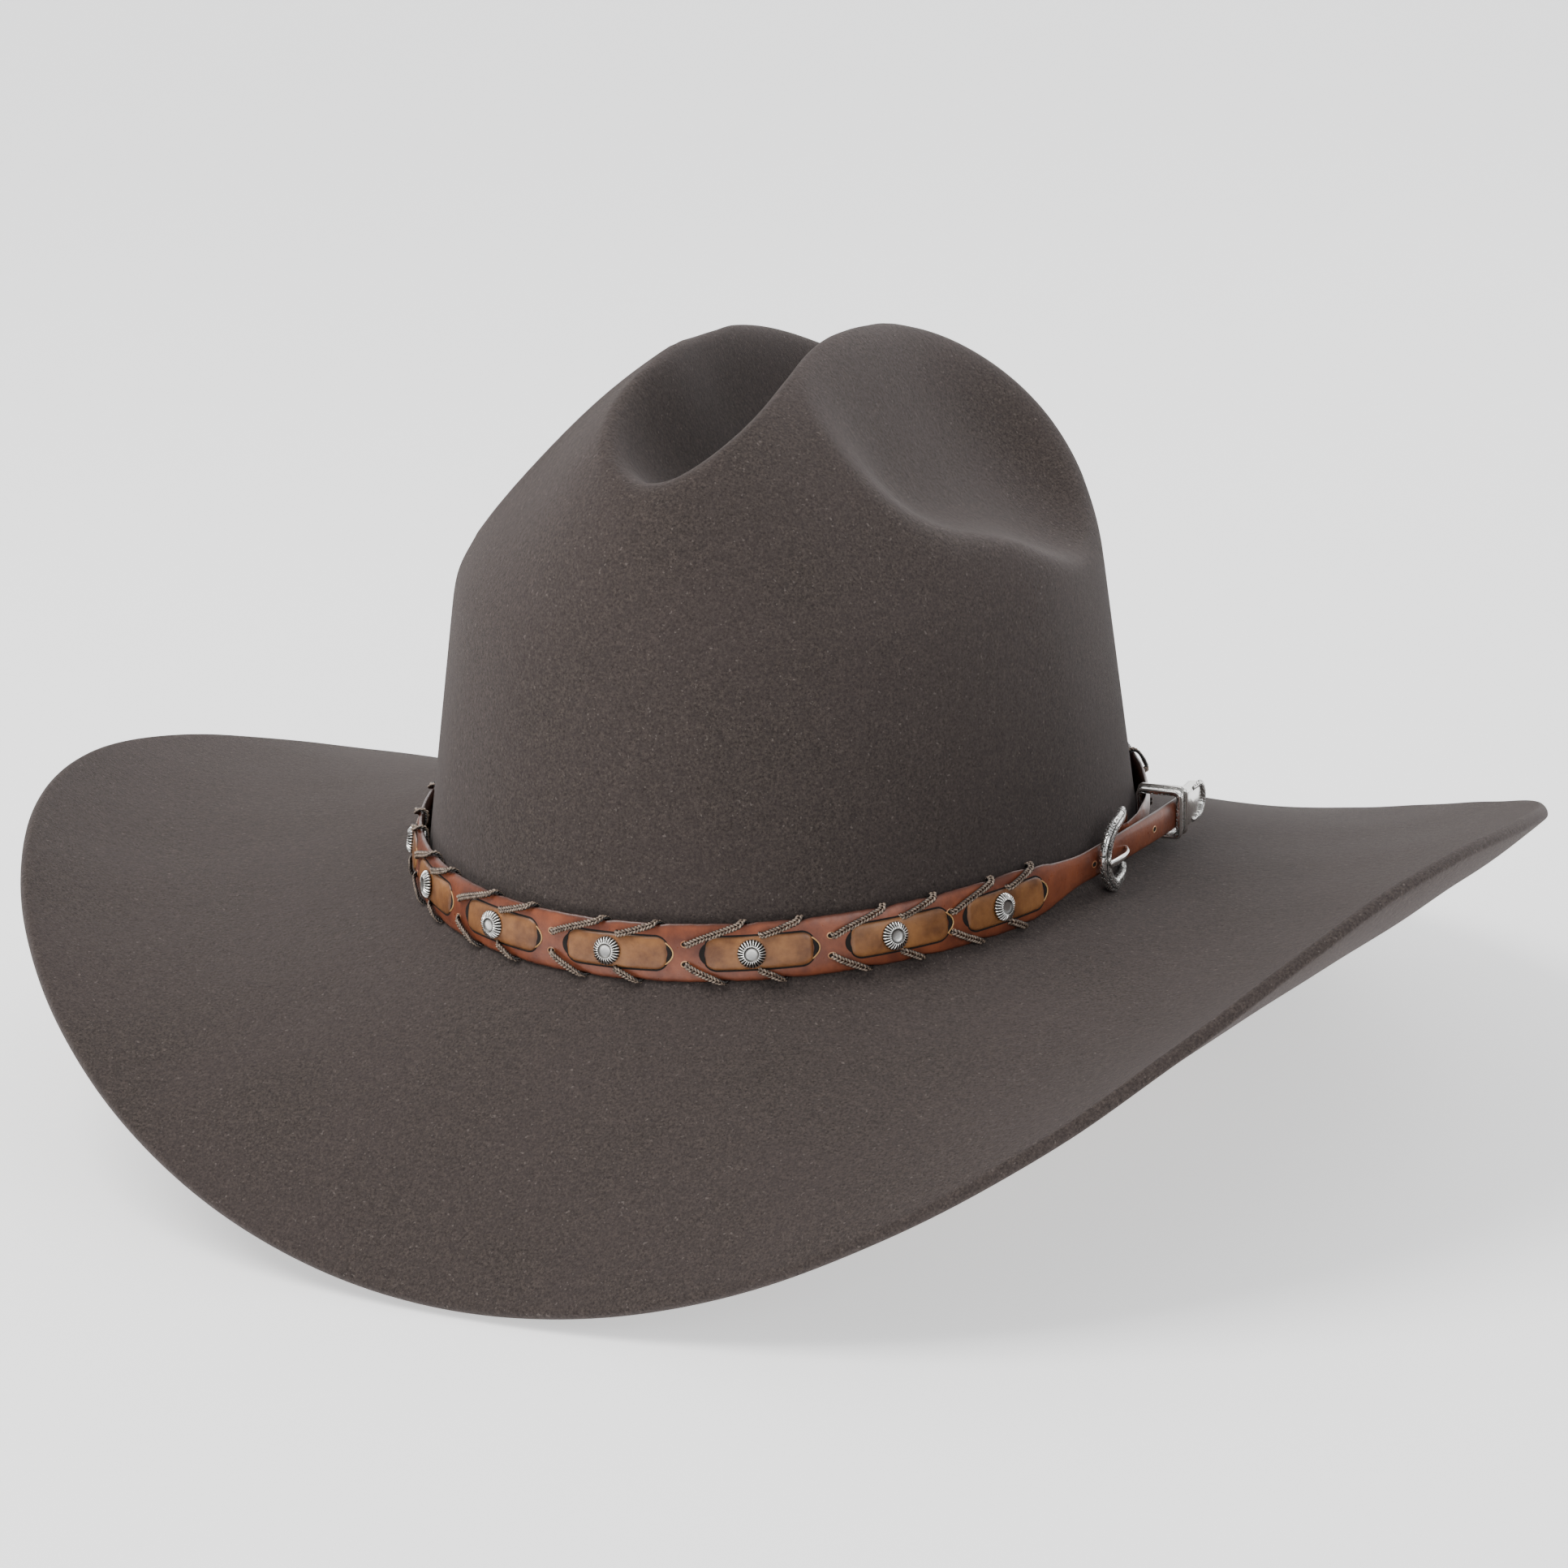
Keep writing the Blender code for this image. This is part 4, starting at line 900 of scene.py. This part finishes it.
def build_buckle():
    """The cast frame, heavy and scrolled, with its bar, the prong lying on its far end, and an inner lip."""
    silver = silver_finish("engraved_silver", 0.9, 620)
    bright = silver_finish("bright_silver")
    m = buckle_matrix()
    bend = FRAME_L - FRAME_HALF_H * 0.92
    outline = [(1.0, FRAME_HALF_H - 0.5), (3.6, FRAME_HALF_H - 0.1), (6.4, FRAME_HALF_H)]
    turn = np.radians(np.linspace(84, -84, 15))
    outline += [(bend + cos(a) * FRAME_HALF_H * 0.92, sin(a) * FRAME_HALF_H) for a in turn]
    outline += [(6.4, -FRAME_HALF_H), (3.6, -FRAME_HALF_H + 0.1), (1.0, -FRAME_HALF_H + 0.5)]
    path = rounded([(u, z, frame_rise(u)) for u, z in outline], step=0.3)
    ahead = tangents(path)
    face = facing(path)
    side = np.cross(ahead, face)
    far = ease(path[:, 0], 3.0, FRAME_L)
    t = np.linspace(0, 2 * pi, 28, endpoint=False)
    section, worn = [], []
    for k, share in enumerate(far):
        wide = 1.45 + 0.5 * share
        thick = 1.1 + 0.2 * share
        across = wide * np.sign(np.cos(t)) * abs(np.cos(t)) ** 0.8
        up = thick * np.sign(np.sin(t)) * abs(np.sin(t)) ** 0.85
        groove = np.exp(-(((across / wide + 0.45) / 0.13) ** 2)) * (np.sin(t) > 0)
        section.append(np.stack([across, up - 0.34 * groove], -1))
        worn.append(np.clip(groove * 1.1, 0, 1))
    points, faces = sweep(path, side, face, section)
    piece(
        "buckle", moved(m, points), faces, silver, "buckle_frame", slot="buckle_silver", replaces=("buckle_frame",),
        worn=np.concatenate(worn),
    )
    parts = Parts()
    bar = np.array([(0.0, z, 0.0) for z in np.linspace(-FRAME_HALF_H + 0.4, FRAME_HALF_H - 0.4, 24)])
    ends = ease(abs(bar[:, 1]), 5.2, 7.0)
    bar[:, 0] += ends * 0.9
    bar[:, 2] += ends * 0.25
    unit = np.eye(3)
    shape = [oval(0.84 + 0.25 * e, 0.84 + 0.2 * e, count=14) for e in ends]
    parts.add(*sweep(bar, np.repeat(unit[:1], 24, 0), np.repeat(unit[2:], 24, 0), shape))
    inner = [(2.2, FRAME_HALF_H - 2.2), (6.4, FRAME_HALF_H - 2.0)]
    inner += [(bend + cos(a) * (FRAME_HALF_H * 0.92 - 2.4), sin(a) * (FRAME_HALF_H - 2.0)) for a in turn]
    inner += [(6.4, -FRAME_HALF_H + 2.0), (2.2, -FRAME_HALF_H + 2.2)]
    lip = rounded([(u, z, frame_rise(u) + 0.1) for u, z in inner], step=0.35)
    flat = facing(lip)
    parts.add(*sweep(lip, np.cross(tangents(lip), flat), flat, oval(0.42, 0.55, count=12)))
    for z, size in ((5.2, 0.62), (2.9, 0.5), (-2.9, 0.5), (-5.2, 0.62)):
        u = bend + (FRAME_HALF_H * 0.92) * (1 - (z / FRAME_HALF_H) ** 2) ** 0.5
        rise = frame_rise(u) + 1.15
        grid = []
        for a in np.linspace(0, pi / 2, 6):
            around = np.linspace(0, 2 * pi, 14, endpoint=False)
            ring = [(u + cos(a) * size * cos(b), z + cos(a) * size * sin(b), rise + sin(a) * size * 0.6) for b in around]
            grid.append(ring)
        parts.add(grid, grid_faces(6, 14, wrap_columns=True))
    parts.piece("buckle_lip_and_bar", bright, "buckle_frame", slot="buckle_silver")

    wire, turn_r = 0.5, 1.54
    loop = [(sin(a) * turn_r, 0.0, cos(a) * turn_r) for a in np.radians(np.linspace(-265, 20, 14))]
    route = loop + [(3.6, 0.0, 1.6), (5.1, 0.0, 1.9), (6.0, 0.0, 2.9), (6.8, 0.0, 4.4), (9.5, 0.0, 6.2)]
    route += [(14.0, 0.0, 7.3), (17.5, 0.0, 7.4), (20.9, 0.0, 7.2)]
    prong = rounded(route, step=0.25)
    ahead = tangents(prong)
    side = np.repeat([(0.0, 1.0, 0.0)], len(prong), 0)
    up = np.cross(ahead, side)
    grow = ease(np.linspace(0, 1, len(prong)), 0.62, 0.85)
    shape = [oval(wire + 0.42 * g, wire + 0.12 * g, count=16) for g in grow]
    points, faces = sweep(prong, side, up, shape)
    piece("prong", moved(m, points), faces, bright, "buckle_prong", slot="buckle_silver", replaces=("buckle_prong",))


def box_loop(low, high, half, radius, count=6):
    """A rounded rectangle as points of (out, up)."""
    points = []
    for x, y, start in ((high, half, 0), (low, half, 90), (low, -half, 180), (high, -half, 270)):
        cx, cy = x - np.sign(x - (low + high) / 2) * radius, y - np.sign(y) * radius
        for a in np.radians(np.linspace(start, start + 90, count)):
            points.append((cx + radius * cos(a), cy + radius * sin(a)))
    return np.array(points)


def billet_matrix(distance, lift=0.0):
    """Frame on the billet: X along it, Y outward, Z up. It mirrors, so faces made in it are turned."""
    ahead = billet_ahead(distance)
    out = right_of(ahead)
    spot = (*billet(distance), billet_z(distance) + lift)
    return Matrix.Translation(spot) @ Matrix(((*ahead, 0), (*out, 0), (0, 0, 1))).transposed().to_4x4()


def build_keeper():
    """The loop that holds the billet against the strap: two raised ribs with scrollwork between them."""
    m = billet_matrix(KEEPER_AT, 0.3)
    engraved = silver_finish("keeper_scrolls", 0.85, 700)
    bright = silver_finish("keeper_bright")
    half_l, slant = KEEPER_L / 2, -0.25
    outer, inner, deep, half = 1.3, -9.1, 0.9, 5.2
    loop_in = box_loop(inner, outer, half, 0.7)
    loop_out = box_loop(inner - 0.75, outer + deep, half + 0.8, 1.4)
    rows, worn = [], []
    for x in (-half_l + 0.15, half_l - 0.15):
        for loop in (loop_in, loop_out):
            rows.append([(x, y + (slant * x if y < -2 else 0.0), z) for y, z in loop])
    order = [rows[0], rows[1], rows[3], rows[2]]
    faces = grid_faces(4, len(loop_in), wrap_columns=True, wrap_rows=True)
    parts = Parts()
    parts.add(moved(m, order), faces)
    parts.piece("keeper", engraved, "keeper_loop", slot="buckle_silver", replaces=("keeper_loop",))
    ribs = Parts()
    for x in (-half_l + 0.5, half_l - 0.5):
        path = np.array([(x, y + (slant * x if y < -2 else 0.0), z) for y, z in box_loop(inner - 0.72, outer + deep + 0.05, half + 0.82, 1.4, 9)])
        ahead = tangents(path, closed=True)
        along = np.repeat([(1.0, 0.0, 0.0)], len(path), 0)
        tube, faces = sweep(path, along, np.cross(ahead, along), oval(0.58, 0.5, count=12), closed=True)
        ribs.add(moved(m, tube), faces)
    ribs.piece("keeper_ribs", bright, "keeper_loop", slot="buckle_silver")


def build_tip():
    """The metal cap on the billet's end: a plain satin face inside a thick scrolled rim."""
    m = billet_matrix(TIP_FROM, -0.15)
    satin = silver_finish("tip_satin")
    engraved = silver_finish("tip_scrolls", 0.8, 760)
    half_w, half_t = 4.7, 1.7
    turn = np.radians(np.linspace(-90, 90, 25))
    outline = [(0.0, -half_w)] + [(x, -half_w) for x in np.linspace(1, TIP_L - half_w, 8)]
    outline += [(TIP_L - half_w + cos(a) * half_w, sin(a) * half_w) for a in turn[1:-1]]
    outline += [(x, half_w) for x in np.linspace(TIP_L - half_w, 1, 8)] + [(0.0, half_w)]
    outline = np.array(outline)
    middle = np.array([TIP_L / 2 - 2, 0.0])
    rows = []
    for shrink, y in ((0.0, -half_t), (0.86, -half_t), (0.97, -half_t + 0.3), (1.0, 0.0), (0.97, half_t - 0.35), (0.9, half_t - 0.1)):
        ring = middle + (outline - middle) * max(shrink, 0.02)
        rows.append([(x, y, z) for x, z in ring])
    rows.append([(x, half_t - 0.1, z) for x, z in middle + (outline - middle) * 0.02])
    parts = Parts()
    parts.add(moved(m, rows), grid_faces(len(rows), len(outline), wrap_columns=True)[:, ::-1])
    parts.piece("strap_tip", satin, "hatband", slot="buckle_silver", replaces=("billet_tip",))
    rim = Parts()
    start = 9
    path = np.array([(x, half_t - 0.25, z) for x, z in middle + (outline - middle) * 0.9])[start - 5 : -(start - 5)]
    path = rounded(path, step=0.35)
    ahead = tangents(path)
    up = np.repeat([(0.0, 1.0, 0.0)], len(path), 0)
    swellings = ease(path[:, 0], 4.0, TIP_L)
    shape = [oval(0.55 + 0.65 * s, 0.45 + 0.3 * s, count=14) for s in swellings]
    rim.add(*sweep(path, np.cross(ahead, up), up, shape))
    rim.points = [moved(m, rim.points[0])]
    rim.piece("strap_tip_rim", engraved, "hatband", slot="buckle_silver")


# ---- Inside the crown ----------------------------------------------------------------------------------


def ring_sweep(profile, count=260):
    """A closed profile of (depth, z) carried round inside the crown."""
    phi = np.linspace(-pi, pi, count, endpoint=False)
    rows = np.array([inside(phi, depth, z) for depth, z in profile])
    return rows.reshape(-1, 3), grid_faces(len(profile), count, wrap_columns=True, wrap_rows=True)


def build_inside():
    leather = leather_finish("sweatband_leather_finish", linear(120, 74, 44), linear(164, 112, 72), 0.5, 1100, 0.00006, 0.1)
    depth, thick, foot, top = 5.6, 1.2, 0.9, 43.0
    side = np.linspace(foot + 0.5, top - 0.4, 26)
    profile = [(depth, z) for z in side] + [(depth + 0.3, top), (depth + thick - 0.25, top - 0.05)]
    profile += [(depth + thick + 0.16 * sin(pi * (z - foot) / (top - foot)), z) for z in side[::-1]]
    profile += [(depth + thick - 0.3, foot), (depth + 0.3, foot)]
    points, faces = ring_sweep(profile)
    piece("sweatband_leather", points, faces[:, ::-1], leather, "hat", slot="sweatband_leather", replaces=("sweatband",))

    thread = plain_finish("stitch_thread", linear(196, 178, 144), linear(226, 212, 184), 0.6)
    stitches = Parts()
    phis = np.linspace(-pi, pi, 150, endpoint=False)
    for z, lean in ((5.2, 0.0), (40.4, 0.5)):
        low = inside(phis - 0.012, depth + thick + 0.14, z - lean)
        high = inside(phis + 0.012, depth + thick + 0.14, z + lean)
        for a, b in zip(low, high):
            path = np.linspace(a, b, 5)
            path[1:4, :2] *= 1 - 0.0012
            unit = np.repeat([(0.0, 0.0, 1.0)], 5, 0)
            side_way = np.cross(tangents(path), unit)
            stitches.add(*sweep(path, side_way, unit, oval(0.16, 0.2, count=6)))
    stitches.piece("sweatband_stitches", thread, "hat")

    satin = satin_finish()
    count = 720
    phi = np.linspace(-pi, pi, count, endpoint=False)
    rows = []
    heights = np.linspace(8.0, 52.0, 22)
    for z in heights:
        share = (z - 8.0) / 44.0
        gather = 0.28 + 0.5 * share
        fold = 0.5 * gather * (1 + np.sin(96 * phi + 1.1 * np.sin(7 * phi) + 0.7 * np.sin(13 * phi + 2 * share)))
        base = inside(phi, 4.35, z)
        centre = base * (1, 1, 0)
        rows.append(base - centre / np.linalg.norm(centre, axis=1)[:, None] * fold[:, None])
    points = np.concatenate(rows)
    side = piece(
        "lining_gathered_side", points, grid_faces(len(rows), count, wrap_columns=True), satin, "hat",
        slot="lining_satin", replaces=("lining_side",),
    )

    rows = []
    for reach in np.linspace(1.0, 0.02, 44):
        x = 76.0 * reach * np.sin(phi)
        y = CROWN_BACKSET - 94.0 * reach * np.cos(phi)
        z = 58.0 + 30.0 * (1 - reach**2.2) ** 0.7
        pleat = 0.55 * reach**6 * np.sin(96 * phi + 1.1 * np.sin(7 * phi))
        sag = 0.5 * np.sin(x / 11) * np.sin(y / 13 + 1) * (1 - reach**4)
        rows.append(np.stack([x, y, z + pleat + sag], -1))
    faces = grid_faces(len(rows), count, wrap_columns=True).tolist()
    faces.append([(len(rows) - 1) * count + i for i in range(count)])
    cap = piece(
        "lining_oval_top", np.concatenate(rows), faces, satin, "hat", slot="lining_satin", replaces=("lining_tip",)
    )

    ribbon = plain_finish("bow_ribbon_finish", linear(38, 33, 31), linear(58, 50, 46), 0.5, 1200, sheen=0.3)
    rear = inside(np.array([pi]), depth + thick, 9.0)[0]
    bow = Parts()
    for sign in (-1, 1):
        path = []
        for t in np.linspace(0, 1, 30):
            a = 2 * pi * t
            path.append((sign * (5.4 - 5.4 * cos(a)), -0.75 * sin(a) - 0.9, 0.35 * sin(a / 2)))
        path = np.array(path)
        up = np.repeat([(0.0, 0.0, 1.0)], len(path), 0)
        wide = [1.4 + 2.4 * sin(pi * t) ** 0.6 for t in np.linspace(0.02, 0.98, 30)]
        bow.add(*sweep(path, np.cross(tangents(path), up), up, [oval(0.13, w, 6, 12) for w in wide]))
    knot = np.array([(x, -1.2, 0.0) for x in np.linspace(-1.5, 1.5, 8)])
    unit = np.eye(3)
    bow.add(*sweep(knot, np.repeat(unit[1:2], 8, 0), np.repeat(unit[2:], 8, 0), oval(0.95, 2.1, 3, 16)))
    bow.points = [p + rear - (0, 0.6, 0) for p in bow.points]
    bow.piece("ribbon_bow", ribbon, "hat", slot="bow_ribbon", replaces=("sweatband_bow",))

    looks = {
        "reed_welt": plain_finish("welt_weave", linear(44, 38, 34), linear(62, 54, 48), 0.8, 1500, sheen=0.2),
        "sweatband_seam_patch": plain_finish("patch_weave", linear(44, 38, 34), linear(62, 54, 48), 0.8, 1500, sheen=0.2),
        "sweatband_reed": plain_finish("reed_plastic_finish", linear(214, 208, 196), linear(228, 224, 214), 0.4),
        "tip_protector": plain_finish("clear_film_finish", linear(226, 230, 232), linear(236, 239, 240), 0.08, alpha=0.25),
        "size_label": plain_finish("label_paper_finish", linear(224, 220, 208), linear(236, 233, 224), 0.8),
    }
    back = silver_finish("button_back_silver")
    for number in range(1, CONCHOS + 1):
        looks[f"concho_back_{number:02d}"] = back
    for node, look in looks.items():
        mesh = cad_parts[node].data
        mesh.materials.clear()
        mesh.materials.append(look)


# ---- Camera, light and ground --------------------------------------------------------------------------

VIEW_AZIMUTH, VIEW_ELEVATION, VIEW_ROLL = radians(22.86), radians(16.77), radians(-1.66)
VIEW_DISTANCE, VIEW_LENS = 1.2093, 106.6
VIEW_RIGHT, VIEW_UP = -0.0004, 0.0162


def build_camera():
    a, e, r = VIEW_AZIMUTH, VIEW_ELEVATION, VIEW_ROLL
    back = Vector((sin(a) * cos(e), -cos(a) * cos(e), sin(e)))
    flat = Vector((cos(a), sin(a), 0))
    high = back.cross(flat)
    right = flat * cos(r) + high * sin(r)
    up = high * cos(r) - flat * sin(r)
    camera = bpy.data.objects.new("camera", bpy.data.cameras.new("camera"))
    camera.data.lens = VIEW_LENS
    camera.data.sensor_width = 36.0
    camera.data.clip_start = 0.05
    turn = Matrix((right, up, back)).transposed().to_4x4()
    spot = back * VIEW_DISTANCE + right * VIEW_RIGHT + up * VIEW_UP
    camera.matrix_world = Matrix.Translation(spot) @ turn
    bpy.context.scene.collection.objects.link(camera)
    bpy.context.scene.camera = camera


def build_light(name, towards, distance, size, power, colour=(1, 1, 1)):
    lamp = bpy.data.lights.new(name, "AREA")
    lamp.shape = "RECTANGLE"
    lamp.size, lamp.size_y = size
    lamp.energy = power
    lamp.color = colour
    obj = bpy.data.objects.new(name, lamp)
    way = Vector(towards).normalized()
    obj.location = way * distance
    obj.rotation_euler = way.to_track_quat("Z", "Y").to_euler()
    bpy.context.scene.collection.objects.link(obj)


def build_studio():
    world = bpy.data.worlds.new("studio")
    world.use_nodes = True
    world.node_tree.nodes["Background"].inputs["Color"].default_value = (0.95, 0.97, 1.0, 1)
    world.node_tree.nodes["Background"].inputs["Strength"].default_value = 0.55
    bpy.context.scene.world = world
    build_light("key", (-0.6, -0.5, 1.25), 1.5, (0.9, 0.9), 24, (1.0, 0.985, 0.965))
    build_light("fill", (1.0, -0.65, 0.55), 1.7, (0.9, 0.7), 7, (0.96, 0.98, 1.0))
    build_light("rim", (0.5, 1.0, 0.9), 1.6, (1.0, 0.6), 5)
    paper = Finish("white_ground")
    grain = paper.noise(30, 3, 0.5)
    paper.set(
        Base_Color=paper.mix(grain, (0.88, 0.88, 0.88), (0.91, 0.91, 0.91)),
        Roughness=0.9,
        Specular_IOR_Level=0.1,
        Emission_Color=(1.0, 1.0, 1.0),
        Emission_Strength=0.8,
    )
    floor_z = -0.0612
    profile = [(-3.0, 0.0), (1.2, 0.0)] + [(1.2 + sin(a) * 0.8, 0.8 - cos(a) * 0.8) for a in np.linspace(0.1, pi / 2, 12)]
    profile.append((2.0, 3.0))
    points = []
    a = VIEW_AZIMUTH
    for reach, height in profile:
        for side in (-4.0, 4.0):
            points.append((-sin(a) * reach + cos(a) * side, cos(a) * reach + sin(a) * side, floor_z + height))
    mesh = bpy.data.meshes.new("ground")
    faces = [(2 * i, 2 * i + 1, 2 * i + 3, 2 * i + 2) for i in range(len(profile) - 1)]
    mesh.from_pydata(points, [], faces)
    mesh.shade_smooth()
    mesh.materials.append(paper.material)
    ground = bpy.data.objects.new("ground", mesh)
    bpy.context.scene.collection.objects.link(ground)


build_felt()
build_strap()
build_tabs()
build_laces()
build_conchos()
build_buckle()
build_keeper()
build_tip()
build_inside()
build_camera()
build_studio()
